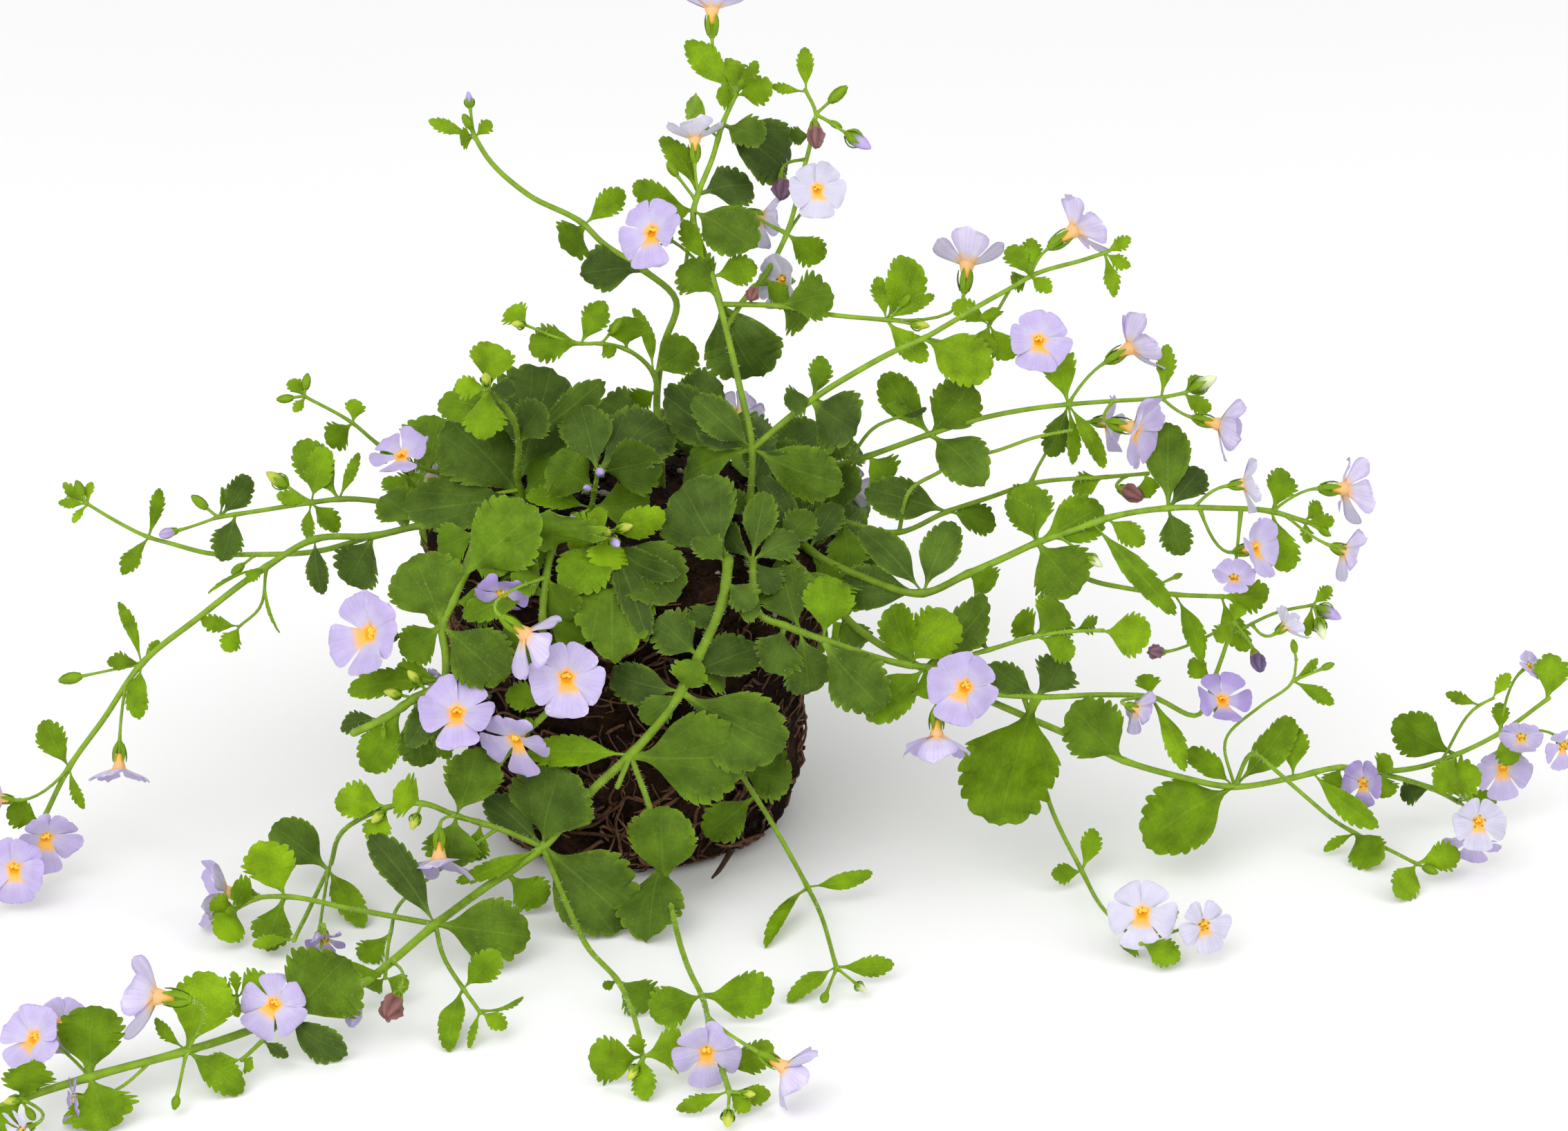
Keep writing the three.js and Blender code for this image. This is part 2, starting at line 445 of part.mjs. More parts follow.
      foot: [-12, -14], radius: [1.3, 0.8],
      route: [[-13, 88, -16], [-12, 93, -18], [-11, 99, -20]],
      leaves: [[1, -24.6, 102, -5, 17, 0], [2, 7, 103, -3, 16, 0], [2, -16, 118, 6, 15, 0],
        [2, 9, 112, 8, 20, 0], [0, 4, 90, 1, 13, -15]],
      buds: [[2, -10, 98, -7, 6]],
    },
  ],
  back_middle: [
    {
      foot: [4, 38], radius: [1.3, 0.8],
      route: [[4, 112, 44], [2, 110, 62], [-2, 88, 82], [-6, 66, 96], [-10, 52, 108]],
      leaves: [[0, 20, 116, 3, 16, 0], [0, -14, 112, 5, 16, 0], [0, 13, 109, -20, 15, 0],
        [0, -8, 106, -20, 15, 0], [1, 20, 94, 8, 17, 0], [1, -18, 96, 8, 17, 0], [2, 16, 74, 6, 16, 0],
        [2, -20, 74, 6, 16, 0], [3, 10, 56, 6, 13, 0], [3, -22, 58, 6, 13, 0], [4, -2, 46, 5, 9, 0],
        [4, -20, 44, 5, 9, 0]],
      blooms: [[1, 6, 88, 22, 150, 10, 19, 0, 'lilac'], [3, -12, 74, 20, 170, 10, 19, 0, 'lilac']],
    },
    {
      radius: [1, 0.7],
      route: [[2, 110, 62], [12, 112, 72], [21, 108, 84], [27, 99, 95]],
      leaves: [[1, 2, 112, 14, 13, 20], [2, 12, 98, 12, 13, 20], [2, 34, 107, 4, 12, -20],
        [3, 20, 88, 8, 11, 20], [3, 38, 92, 2, 11, -20]],
      blooms: [[2, 30, 116, 12, 160, 30, 15, 0, 'lilac']],
    },
    {
      radius: [1, 0.7],
      route: [[-2, 88, 82], [-13, 94, 91], [-23, 91, 102], [-30, 80, 111]],
      leaves: [[1, -4, 102, 8, 13, 20], [1, -22, 100, -8, 13, -20], [2, -16, 80, 12, 13, 20],
        [2, -34, 96, 2, 12, -20], [3, -24, 70, 6, 10, 20], [3, -40, 74, 2, 10, -20]],
      blooms: [[2, -26, 103, 12, 185, 25, 15, 0, 'lilac']],
    },
  ],
  back_left: [
    {
      foot: [-30, 30], radius: [1.3, 0.8],
      route: [[-34, 104, 38], [-42, 100, 52], [-46, 84, 68], [-48, 66, 80], [-48, 52, 92]],
      leaves: [[0, -22, 114, 6, 15, 0], [0, -24, 101, -16, 14, -15], [0, -46, 116, 5, 15, 0],
        [1, -58, 98, 7, 16, 0], [1, -28, 92, 10, 16, 0], [2, -62, 78, 6, 15, 0], [2, -32, 76, 8, 15, 0],
        [3, -60, 56, 6, 12, 0], [3, -36, 56, 6, 12, 0]],
      blooms: [[2, -52, 84, 20, 190, 10, 18, 0, 'lilac']],
    },
    {
      radius: [1, 0.7],
      route: [[-42, 100, 52], [-49, 106, 61], [-54, 103, 73], [-57, 94, 84]],
      leaves: [[1, -60, 108, -8, 13, 20], [1, -42, 108, 14, 13, -20], [2, -64, 104, 4, 12, 20],
        [2, -44, 94, 12, 12, -20], [3, -64, 86, 4, 11, 20], [3, -50, 84, 2, 11, -20]],
      blooms: [[2, -60, 96, 14, 215, 20, 15, 0, 'lilac']],
    },
  ],
  back_right: [
    {
      foot: [32, 30], radius: [1.3, 0.8],
      route: [[37, 102, 38], [44, 100, 52], [50, 86, 66], [54, 70, 76], [56, 56, 86]],
      leaves: [[0, 27, 114, 6, 15, 0], [0, 28, 100, -16, 14, 45], [0, 54, 110, 4, 15, 0],
        [1, 60, 96, 7, 15, 0], [1, 33, 94, 10, 15, 0], [2, 66, 80, 6, 15, 0], [2, 38, 78, 8, 15, 0],
        [3, 66, 60, 6, 12, 0], [3, 44, 58, 6, 12, 0]],
      blooms: [[1, 50, 104, 24, 165, 20, 18, 0, 'white']],
    },
    {
      radius: [1, 0.7],
      route: [[44, 100, 52], [51, 106, 59], [56, 103, 70], [60, 93, 80]],
      leaves: [[1, 40, 110, 14, 13, 20], [1, 62, 110, -6, 13, -20], [2, 46, 96, 2, 12, 20],
        [2, 66, 104, 4, 12, -20], [3, 52, 84, 8, 11, 20], [3, 68, 86, 4, 11, -20]],
      blooms: [[2, 62, 95, 14, 150, 20, 15, 0, 'lilac']],
    },
  ],
};

// The ray from the eye through a place of the chart, one card distance long
function sightLine(across, up) {
  return SIGHT.clone().multiplyScalar(EYE.distance)
    .addScaledVector(RIGHT, across - EYE.across)
    .addScaledVector(CARD_UP, up - EYE.up);
}

// The point of a ray at a share of its length, or where the ray is no lower than the lowest height
function pointOnRay(ray, share, lowest) {
  const point = EYE_POINT.clone().addScaledVector(ray, share);
  if (point.z >= lowest) {
    return point;
  }
  return EYE_POINT.clone().addScaledVector(ray, (lowest - EYE_POINT.z) / ray.z);
}

// The point of a sight line that lies so far back
function placeBack(across, up, back, lowest = LOWEST_STEM) {
  const ray = sightLine(across, up);
  return pointOnRay(ray, (back - EYE_POINT.y) / ray.y, lowest);
}

// The point of a sight line that is so much farther from the eye than a given point
function placeBeside(near, across, up, farther, lowest) {
  const reach = near.clone().sub(EYE_POINT).dot(SIGHT) + farther;
  return pointOnRay(sightLine(across, up), reach / EYE.distance, lowest);
}

// A size on the chart as a real size at a point's distance from the eye
function realSize(size, point) {
  return size * point.clone().sub(EYE_POINT).dot(SIGHT) / EYE.distance;
}

// A closed body from its points and its triangles of point numbers, that can be joined and cut
function solidOf(points, triangles) {
  const vertProperties = new Float32Array(points.flatMap((point) => [point.x, point.y, point.z]));
  const triVerts = new Uint32Array(triangles.flat());
  return new wasm.Manifold(new wasm.Mesh({ numProp: 3, vertProperties, triVerts }));
}

// The triangles of a closed body made of rings of points, each numbered on from the ring before
function ringTriangles(rings, sides) {
  const triangles = [];
  for (let i = 0; i + 1 < rings; i += 1) {
    for (let j = 0; j < sides; j += 1) {
      const a = i * sides + j;
      const b = i * sides + (j + 1) % sides;
      triangles.push([a, b, b + sides], [a, b + sides, a + sides]);
    }
  }
  const end = (rings - 1) * sides;
  for (let j = 1; j + 1 < sides; j += 1) {
    triangles.push([0, j + 1, j], [end, end + j, end + j + 1]);
  }
  return triangles;
}

// A closed tube, ringed at each point of its route with a radius for each ring
function tubeSolid(route, radii, sides) {
  const last = route.length - 1;
  const normal = new THREE.Vector3(...FIRST_NORMAL);
  const points = [];
  route.forEach((centre, i) => {
    const along = route[Math.min(i + 1, last)].clone().sub(route[i]).normalize()
      .add(route[i].clone().sub(route[Math.max(i - 1, 0)]).normalize())
      .normalize();
    normal.addScaledVector(along, -normal.dot(along)).normalize();
    const side = along.clone().cross(normal);
    for (let j = 0; j < sides; j += 1) {
      const angle = 2 * Math.PI * j / sides;
      points.push(centre.clone()
        .addScaledVector(normal, radii[i] * Math.cos(angle))
        .addScaledVector(side, radii[i] * Math.sin(angle)));
    }
  });
  return solidOf(points, ringTriangles(route.length, sides));
}

// Height of the soil at a place, a low mound that falls to the rim
function soilHeight(x, y) {
  return BALL.height + SOIL.mound * (1 - (x * x + y * y) / BALL.topRadius ** 2);
}

// The root ball: a tapered block with a lumpy side, a flat foot and a mound of soil on top
function rootBall() {
  const { height, footRadius, topRadius, sides, rows, bevel, footRise, rimDrop } = BALL;
  const rings = [[footRadius - bevel, 0], [footRadius, footRise]];
  for (let i = 1; i < rows; i += 1) {
    rings.push([lerp(footRadius, topRadius, i / rows), height * i / rows]);
  }
  rings.push([topRadius, height - rimDrop], [topRadius - bevel, height],
    [SOIL.shoulderRadius, soilHeight(SOIL.shoulderRadius, 0)]);
  const points = rings.flatMap(([radius, z], i) => Array.from({ length: sides }, (_, j) => {
    const angle = 2 * Math.PI * j / sides;
    const lumps = LUMPS.map(({ size, waves, climb }) => size * Math.sin(waves * angle + climb * z));
    const reach = i === 0 ? radius : radius + lumps[0] + lumps[1];
    return new THREE.Vector3(Math.cos(angle) * reach, Math.sin(angle) * reach, z);
  }));
  return solidOf(points, ringTriangles(rings.length, sides));
}

// The hole in the soil that a stem of this thickness stands in
function holeSolid(x, y, radius) {
  const reach = (radius + SOIL.holeGap) / Math.cos(Math.PI / SOIL.holeSides);
  const heights = [BALL.height - SOIL.holeDepth, BALL.height + SOIL.holeTop];
  const route = heights.map((z) => new THREE.Vector3(x, y, z));
  return tubeSolid(route, [reach, reach], SOIL.holeSides);
}

// A toothed leaf, thick at its midrib and thin at its rim, that lies from foot to tip with its
// face to the eye, arched along its length and turned about it
function leafSolid(foot, tip, width, turn) {
  const along = tip.clone().sub(foot);
  const length = along.length();
  along.divideScalar(length);
  const face = SIGHT.clone().negate().addScaledVector(along, SIGHT.dot(along)).normalize();
  face.applyAxisAngle(along, degToRad(turn));
  const side = along.clone().cross(face);
  let outline = SIDES.large;
  if (length < BLADE.middleLength) {
    outline = SIDES.middle;
  }
  if (length < BLADE.smallLength) {
    outline = SIDES.small;
  }
  const at = (share, across, lift) => foot.clone()
    .addScaledVector(along, share * length)
    .addScaledVector(side, across * width)
    .addScaledVector(face, lift + Math.sin(Math.PI * share) * BLADE.arch * length
      + Math.abs(across) * BLADE.fold * width);
  const half = BLADE.thickness / 2;
  const points = [
    at(0, 0, 0), at(BLADE.middle, 0, half), at(BLADE.middle, 0, -half),
    ...outline.map(([share, across]) => at(share, across, 0)),
    at(1, 0, 0),
    ...outline.map(([share, across]) => at(share, -across, 0)).reverse(),
  ];
  const [start, front, back, first] = [0, 1, 2, 3];
  const last = points.length - 1;
  const triangles = [
    [start, front, last], [start, first, front], [start, last, back], [start, back, first],
  ];
  for (let i = first; i < last; i += 1) {
    triangles.push([front, i, i + 1], [back, i + 1, i]);
  }
  return solidOf(points, triangles);
}

// A bud on its stalk, from a point of the stem to its tip
function budSolid(foot, tip, length) {
  const heading = tip.clone().sub(foot).normalize();
  const reach = tip.distanceTo(foot);
  const real = Math.min(length, reach);
  const route = [foot, tip.clone().addScaledVector(heading, -BUD.widestBack * real), tip];
  const radii = [STALK.radius, BUD.widest * length, BUD.tip * length];
  if (reach > length + BUD.stalkedFrom) {
    route.splice(1, 0, tip.clone().addScaledVector(heading, -length));
    radii.splice(1, 0, STALK.radius);
  }
  return tubeSolid(route, radii, STALK.sides);
}

// The way a bloom looks, turned to the right and up from facing the eye
function lookOf(right, up) {
  return SIGHT.clone().multiplyScalar(-Math.cos(degToRad(right)) * Math.cos(degToRad(up)))
    .addScaledVector(RIGHT, Math.sin(degToRad(right)) * Math.cos(degToRad(up)))
    .addScaledVector(CARD_UP, Math.sin(degToRad(up)))
    .normalize();
}

// Places of a bloom: angle from its upper side, reach and depth behind its face, as shares of its size
function bloomPlaces(centre, look, size, spin) {
  const upper = CARD_UP.clone().addScaledVector(look, -CARD_UP.dot(look));
  if (upper.length() < STEEPEST_LOOK) {
    upper.copy(SIGHT).addScaledVector(look, -SIGHT.dot(look));
  }
  upper.normalize().applyAxisAngle(look, -degToRad(spin));
  const right = upper.clone().cross(look);
  return (angle, reach, behind) => centre.clone()
    .addScaledVector(upper, Math.cos(angle) * reach * size)
    .addScaledVector(right, Math.sin(angle) * reach * size)
    .addScaledVector(look, -behind * size);
}

// The angle of the notch after a lobe
function notchAngle(k) {
  const own = degToRad(LOBES[k][0]);
  const next = degToRad(LOBES[(k + 1) % LOBES.length][0]);
  return (own + next) / 2 + (next < own ? Math.PI : 0);
}

// Five joined petals round a shallow cup, with a pointed tube behind them
function bloomSolid(at) {
  const rim = [];
  const neck = [];
  LOBES.forEach(([turn, half, reach], k) => {
    const angle = degToRad(turn);
    const shoulder = reach * BLOOM.shoulder;
    const spread = Math.atan(half / shoulder);
    rim.push(at(angle - spread, shoulder, BLOOM.shoulderBack), at(angle, reach, 0),
      at(angle + spread, shoulder, BLOOM.shoulderBack), at(notchAngle(k), BLOOM.notch, BLOOM.notchBack));
    neck.push(at(notchAngle(k), BLOOM.neck, BLOOM.notchBack + BLOOM.thickness));
  });
  const step = rim.length / neck.length;
  const cup = rim.length + neck.length;
  const tubeEnd = cup + 1;
  const triangles = rim.map((_, i) => [cup, (i + 1) % rim.length, i]);
  neck.forEach((_, k) => {
    const before = (k + neck.length - 1) % neck.length;
    const [own, ownBefore] = [rim.length + k, rim.length + before];
    const [notchBefore, left, tip, right, notch] = [step * before + 3, step * k, step * k + 1,
      step * k + 2, step * k + 3];
    triangles.push([ownBefore, notchBefore, left], [ownBefore, left, tip], [own, tip, right],
      [own, right, notch], [ownBefore, tip, own], [ownBefore, own, tubeEnd]);
  });
  return solidOf([...rim, ...neck, at(0, 0, BLOOM.cup), at(0, 0, BLOOM.tube)], triangles);
}

// A small bloom: five pointed petals that run back to one point
function smallBloomSolid(at) {
  const rim = LOBES.flatMap(([turn, , reach], k) => [
    at(degToRad(turn), reach, 0), at(notchAngle(k), BLOOM.smallNotch, BLOOM.notchBack),
  ]);
  const cup = rim.length;
  const tubeEnd = cup + 1;
  const triangles = rim.flatMap((_, i) => {
    const next = (i + 1) % rim.length;
    return [[cup, next, i], [tubeEnd, i, next]];
  });
  return solidOf([...rim, at(0, 0, BLOOM.cup), at(0, 0, BLOOM.tube)], triangles);
}

// The place on a route at a fractional point number
function pointAt(route, at) {
  const i = Math.min(Math.floor(at), route.length - 2);
  return route[i].clone().lerp(route[i + 1], at - i);
}

// A bloom with its calyx and stalk: the petals, and the green solid that holds them
function bloomOnStalk(foot, row) {
  const [, across, up, farther, turnRight, turnUp, size, spin, kind] = row;
  const centre = placeBeside(foot, across, up, farther, size * BLOOM.clearance);
  const look = lookOf(turnRight, turnUp);
  const real = realSize(size, centre);
  const behind = (distance) => centre.clone().addScaledVector(look, -distance);
  const shut = SHUT_KINDS.includes(kind);
  const own = !shut && kind !== 'behind' && size > OWN_BLOOM_SIZE;
  const front = BLOOM.tube * real + (own ? CALYX.gap : -CALYX.sunk * real);
  const calyxEnd = behind(front + CALYX.length * real);
  const pull = calyxEnd.clone().addScaledVector(look, -STALK.pull * calyxEnd.distanceTo(foot));
  const middle = new THREE.QuadraticBezierCurve3(foot, pull, calyxEnd).getPoint(HALF_WAY);
  const route = [foot, middle, calyxEnd, behind(front)];
  const radii = [STALK.radius, STALK.radius, STALK.radius, CALYX.front * real];
  if (shut) {
    route.push(behind(SHUT.bellyBack * real), behind(-SHUT.tipFront * real));
    radii.push(SHUT.belly * real, SHUT.tip * real);
  }
  const green = [tubeSolid(route, radii, STALK.sides)];
  const at = bloomPlaces(centre, look, real, spin);
  if (!shut && !own) {
    green.push(smallBloomSolid(at));
  }
  return { green, petals: own ? bloomSolid(at) : null };
}

// A leaf of a shoot, its foot sunk in the stem
function leafOnShoot(route, radii, at, row) {
  const [, across, up, farther, width, turn] = row;
  const last = route.length - 1;
  const axis = pointAt(route, at);
  if (at === last) {
    axis.addScaledVector(route[last - 1].clone().sub(route[last]).normalize(), radii[last]);
  }
  const tip = placeBeside(axis, across, up, farther, CLEAR_HEIGHT);
  const sunk = BLADE.sunk * lerp(radii[0], radii[last], at / last);
  const foot = axis.clone().addScaledVector(tip.clone().sub(axis).normalize(), sunk);
  const sway = SWAY.most * Math.sin(SWAY.perAcross * across + SWAY.perUp * up);
  return leafSolid(foot, tip, realSize(width, tip) / Math.cos(degToRad(sway)), turn + sway);
}

// The points of a shoot's route, from inside the soil if it has a foot there
function routeOf(shoot) {
  const points = shoot.route.map(([across, up, back, lowest]) => placeBack(across, up, back, lowest));
  if (shoot.foot) {
    const [x, y] = shoot.foot;
    points.unshift(new THREE.Vector3(x, y, BALL.height - SOIL.holeDepth + SOIL.stemLift),
      new THREE.Vector3(x, y, soilHeight(x, y) + SOIL.collar));
  }
  return points;
}

// The radius of a shoot at each point of its route
function radiiOf(shoot, route) {
  return route.map((_, i) => lerp(shoot.radius[0], shoot.radius[1], i / (route.length - 1)));
}

// Everything green of one shoot, and its open blooms
function growShoot(shoot) {
  const route = routeOf(shoot);
  const radii = radiiOf(shoot, route);
  const soilPoints = route.length - shoot.route.length;
  const green = [tubeSolid(route, radii, STEM_SIDES)];
  const blooms = [];
  for (const row of shoot.blooms ?? []) {
    const bloom = bloomOnStalk(pointAt(route, row[0] + soilPoints), row);
    green.push(...bloom.green);
    if (bloom.petals) {
      blooms.push({ solid: bloom.petals, look: COLOURS[row.at(-1)] });
    }
  }
  for (const [at, across, up, farther, length] of shoot.buds ?? []) {
    const foot = pointAt(route, at + soilPoints);
    const tip = placeBeside(foot, across, up, farther, BUD.clearHeight);
    green.push(budSolid(foot, tip, realSize(length, tip)));
  }
  for (const row of shoot.leaves ?? []) {
    green.push(leafOnShoot(route, radii, row[0] + soilPoints, row));
  }
  return { green, blooms };
}

const group = new THREE.Group();

// A named mesh of the plant from its solid
function addMesh(name, solid, look) {
  const { vertProperties, triVerts } = solid.getMesh();
  const geometry = new THREE.BufferGeometry();
  geometry.setAttribute('position', new THREE.BufferAttribute(new Float32Array(vertProperties), 3));
  geometry.setIndex(new THREE.BufferAttribute(new Uint32Array(triVerts), 1));
  geometry.computeVertexNormals();
  const mesh = new THREE.Mesh(geometry, new THREE.MeshStandardMaterial(look));
  mesh.name = name;
  group.add(mesh);
}

function joined(solids) {
  return solids.reduce((whole, solid) => whole.add(solid));
}

const feet = Object.values(STEMS).map(([first]) => first);
const holes = feet.map(({ foot, radius }) => holeSolid(foot[0], foot[1], radius[0]));
addMesh('root_ball', holes.reduce((ball, hole) => ball.subtract(hole), rootBall()), COLOURS.soil);

for (const [name, shoots] of Object.entries(STEMS)) {
  const grown = shoots.map(growShoot);
  addMesh(`stem_${name}`, joined(grown.flatMap(({ green }) => green)), COLOURS.leaf);
  grown.flatMap(({ blooms }) => blooms).forEach(({ solid, look }, i) => {
    addMesh(`bloom_${name}_${i + 1}`, solid, look);
  });
}

export default group;
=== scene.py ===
"""A snowflake bacopa knocked out of its pot, finished for the eye.

The leafy stems, the blooms and the root ball stand exactly where the CAD solids stand: the
chart and the table of the plant are the ones that the solids were made from, in millimetres.
Each piece takes the place of its node and adds what the solids leave out: toothed and veined
blades, hairs, throats and calyces, peat, roots and grains.
"""

import math
import re

import bpy
import numpy as np
from bpy.props import FloatProperty, FloatVectorProperty, IntProperty, PointerProperty
from bpy.types import Operator, Panel, PropertyGroup
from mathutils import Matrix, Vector


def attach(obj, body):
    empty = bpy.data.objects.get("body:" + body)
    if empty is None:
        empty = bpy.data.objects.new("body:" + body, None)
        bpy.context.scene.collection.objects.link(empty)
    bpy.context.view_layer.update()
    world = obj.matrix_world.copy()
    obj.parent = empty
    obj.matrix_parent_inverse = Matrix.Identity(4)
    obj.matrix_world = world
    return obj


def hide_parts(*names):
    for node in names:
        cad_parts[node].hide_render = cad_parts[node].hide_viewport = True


bl_info = {
    "name": "Snowflake bacopa",
    "version": (1, 0, 0),
    "blender": (4, 5, 0),
    "location": "View3D > Sidebar > Bacopa",
    "description": "Builds the finished pieces of a snowflake bacopa with a bare root ball",
    "category": "Object",
}

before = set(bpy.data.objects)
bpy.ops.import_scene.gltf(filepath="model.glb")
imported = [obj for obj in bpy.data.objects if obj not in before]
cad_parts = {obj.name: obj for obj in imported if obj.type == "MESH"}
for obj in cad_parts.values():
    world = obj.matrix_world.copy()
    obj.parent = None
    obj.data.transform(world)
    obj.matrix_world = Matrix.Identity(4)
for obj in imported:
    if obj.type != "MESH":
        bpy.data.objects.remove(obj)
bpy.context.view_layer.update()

MM = 0.001
SEED = 417

# The chart: places so far across and so far up on an upright card through the ball's foot, as
# seen by an eye in front of it and a little above
EYE_DISTANCE = 1400.0
EYE_FALL = math.radians(22)
EYE_ACROSS, EYE_UP = 42.8, 71.4
CHART_WIDTH = 453.6
RIGHT = np.array([1.0, 0.0, 0.0])
CARD_UP = np.array([0.0, math.sin(EYE_FALL), math.cos(EYE_FALL)])
SIGHT = np.array([0.0, math.cos(EYE_FALL), -math.sin(EYE_FALL)])
EYE_POINT = EYE_ACROSS * RIGHT + EYE_UP * CARD_UP - EYE_DISTANCE * SIGHT
LOWEST_STEM = 2.5
LEAF_CLEAR_HEIGHT = 1.2
BUD_CLEAR_HEIGHT = 3.0

# The root ball: (radius, height) of its outline from the foot to the rim, and its soil
BALL_OUTLINE = [(38, 0), (43, 3.5), (46.5, 23), (50, 46), (53.5, 69), (57, 88), (52, 92)]
FOOT_RADII = (3, 20, 32)
SOIL_RADII = (45, 38, 31, 24, 17, 10, 3)
BALL_HEIGHT = 92.0
RIM_RADIUS = 57.0
MOUND = 4.0
STEM_FOOT = 84.0
COLLAR = 1.5
LUMPS = [(1.1, 3, 0.11), (0.77, 7, -0.17)]  # size, waves round the ball, climb
ROUGHNESS = [(1.5, 13), (1.0, 5.5), (0.5, 2.4)]  # strength and size of the noise
BALL_ROWS, BALL_SIDES = 104, 208
ROOT_COUNT, ROOT_POINTS = 520, 18
GRAIN_COUNT = 46
DANGLING_ROOT = [(27.6, -10.5, -42), (26.6, -12.6, -43), (25.4, -14.6, -45), (23.8, -17, -48),
                 (22, -19, -51)]
DANGLING_POINTS = 17
DANGLING_AT, DANGLING_RADII = (0, 3, 12, 16), (1.3, 0.85, 0.7, 0.35)
ROOT_SIDES = 5
GRAIN_RADII = np.array([0.45, 1.0, 0.9, 0.4])
GRAINS_OUT_TO = 54

# Half width of a blade on its way from the stalk to the tip, as a share of the whole width
BLADE_SHARES = [0, 0.08, 0.16, 0.24, 0.32, 0.4, 0.5, 0.6, 0.7, 0.8, 0.88, 0.95, 1]
BLADE_HALVES = [0.04, 0.04, 0.07, 0.18, 0.32, 0.43, 0.5, 0.515, 0.495, 0.43, 0.345, 0.22, 0.05]
WEDGE_HALVES = [0.04, 0.05, 0.08, 0.15, 0.25, 0.36, 0.46, 0.52, 0.51, 0.43, 0.31, 0.17, 0.03]
ARCH, FOLD = 0.07, 0.1
LEAST_HEIGHT = 0.3
MOST_SWAY, SWAY_PER_ACROSS, SWAY_PER_UP = 28, 3.1, 1.7
TEETH_FROM, TEETH_TO = 0.38, 0.97
TOOTH_PHASES = (0.0, 0.28, 0.58, 0.84)
TOOTH_RISE = (0.0, 0.6, 0.95, 0.92)
LEAF_BUILDS = [  # from this length on: teeth on each side, rows before them, columns across
    (19, 6, 6, 9), (11, 5, 5, 7), (7, 4, 4, 5), (0, 3, 3, 5),
]
HAIRLESS_TO = 6

# Hairs: radius, colour and how far the finish is drawn to its own hair colour
RIM_HAIR = (0.03, "b9c99a", 0.6)
STEM_HAIR = (0.04, "e3ecd4", 1.0)
RIM_HAIR_GAP = 1.1
STALK_HAIR_SPARSENESS = 1.3
CALYX_HAIRS = 26

# Stems, stalks and buds
STEP_ALONG = 2.2
THICK_FROM, THICK_SIDES, THIN_SIDES = 1.2, 10, 8
ROUND_SHARE = 0.77  # radius of a round stem with the section of its four-sided solid
JOINT_SWELL, JOINT_REACH = 0.22, 0.12
END_CAP = np.array([0.45, 0.8, 0.97])
CUT_FROM = 1.25
CUT_COLOUR = "9a6a3a"
GREEN_AFTER = 90.0
# How dark and brown a stem is at its foot: its older part there and painted shade under the leaves
SHADED_BASE = (0.5, 0.52, 0.3)
STALK_SHARES, STALK_RADII = (0, 0.1, 0.8, 1), (0.75, 0.45, 0.42, 0.6)
STALK_SIDES, STALK_POINTS, BUD_STALK_POINTS = 6, 8, 5
BUD_SIDES = 10
BUD_SHARES = np.array([0, 0.1, 0.3, 0.5, 0.7, 0.85, 0.95, 1])
BUD_RADIUS, BUD_RADII = 0.24, np.array([0.3, 0.6, 1, 1, 0.82, 0.55, 0.3, 0.08])
BUD_LOBE_WIDTHS = np.array([0.06, 0.1, 0.085, 0.05, 0.01])
BUD_COLOURS = {"yellow": "b9c24a", "lilac": "b7a2dd", "white": "d3dab0"}
PLAIN = (0, 0, 0, 0)

# The five lobes of a bloom: angle from its upper side, half width and reach as shares of its size
LOBES = [(-34, 0.19, 0.46), (34, 0.19, 0.46), (104, 0.21, 0.49), (180, 0.24, 0.53),
         (256, 0.21, 0.49)]
LOWEST_LOBE = 180
PETAL_SHARES = np.array([0.14, 0.3, 0.46, 0.62, 0.76, 0.88, 0.96, 1.0])
BROAD_HALVES = [0.42, 0.6, 0.8, 0.98, 1.05, 1.0, 0.8, 0.42]
SLIM_HALVES = [0.26, 0.32, 0.46, 0.7, 0.92, 0.95, 0.76, 0.38]
PETAL_COLUMNS = np.array([-1, -0.6, -0.2, 0.2, 0.6, 1])
FUNNEL = 0.14
THROAT_RADII = np.array([0.05, 0.066, 0.078, 0.09, 0.105, 0.112, 0.1, 0.08, 0.06, 0.03])
THROAT_DEPTHS = np.array([0.36, 0.31, 0.24, 0.19, 0.14, 0.112, 0.11, 0.125, 0.14, 0.15])
THROAT_SIDES = 12
# A deeper orange down the throat: the throat's own colour and painted shade deep in the tube
DEEP_THROAT_AND_SHADE = "e07a00"
ANTHER_ANGLES = np.radians([-70, -20, 25, 75])
ANTHER_RADII = np.array([0.01, 0.024, 0.026, 0.01])
ANTHER_SIDES = 5
ANTHER_PAINT = (1, 0.75, 0.1)
# Pale colour on the back of a petal: painted light that shines through the thin petal
PETAL_BACK_PAINTED_LIGHT = (0.9, 0.84, 1)
TUBE = 0.34
CALYX_LENGTH = 0.2
CALYX_GAP, CALYX_SUNK = 0.3, 0.15
CALYX_ANGLES = np.radians([0, 70, 142, 218, 290])
CALYX_REACH, CALYX_AHEAD = 0.095, 0.12
CALYX_LOBE_WIDTHS = np.array([0.05, 0.085, 0.075, 0.05, 0.012]) * 0.55
CUP_DEPTHS = np.array([0, 0.05, 0.12, CALYX_LENGTH])
CUP_RADII = np.array([0.04, 0.065, 0.08, 0.07])
CUP_SIDES = 8
SHUT_KINDS = ("withered", "closed")
SHUT_SHARES, SHUT_RADII = (0, 0.3, 0.6, 0.85, 1), (0.05, 0.14, 0.16, 0.11, 0.045)
SHUT_ROWS, SHUT_SIDES = 8, 20
RUST = "a0622c"
OWN_BLOOM_SIZE = 16.5
BLOOM_CLEARANCE = 0.56
STEEPEST_LOOK = 0.35

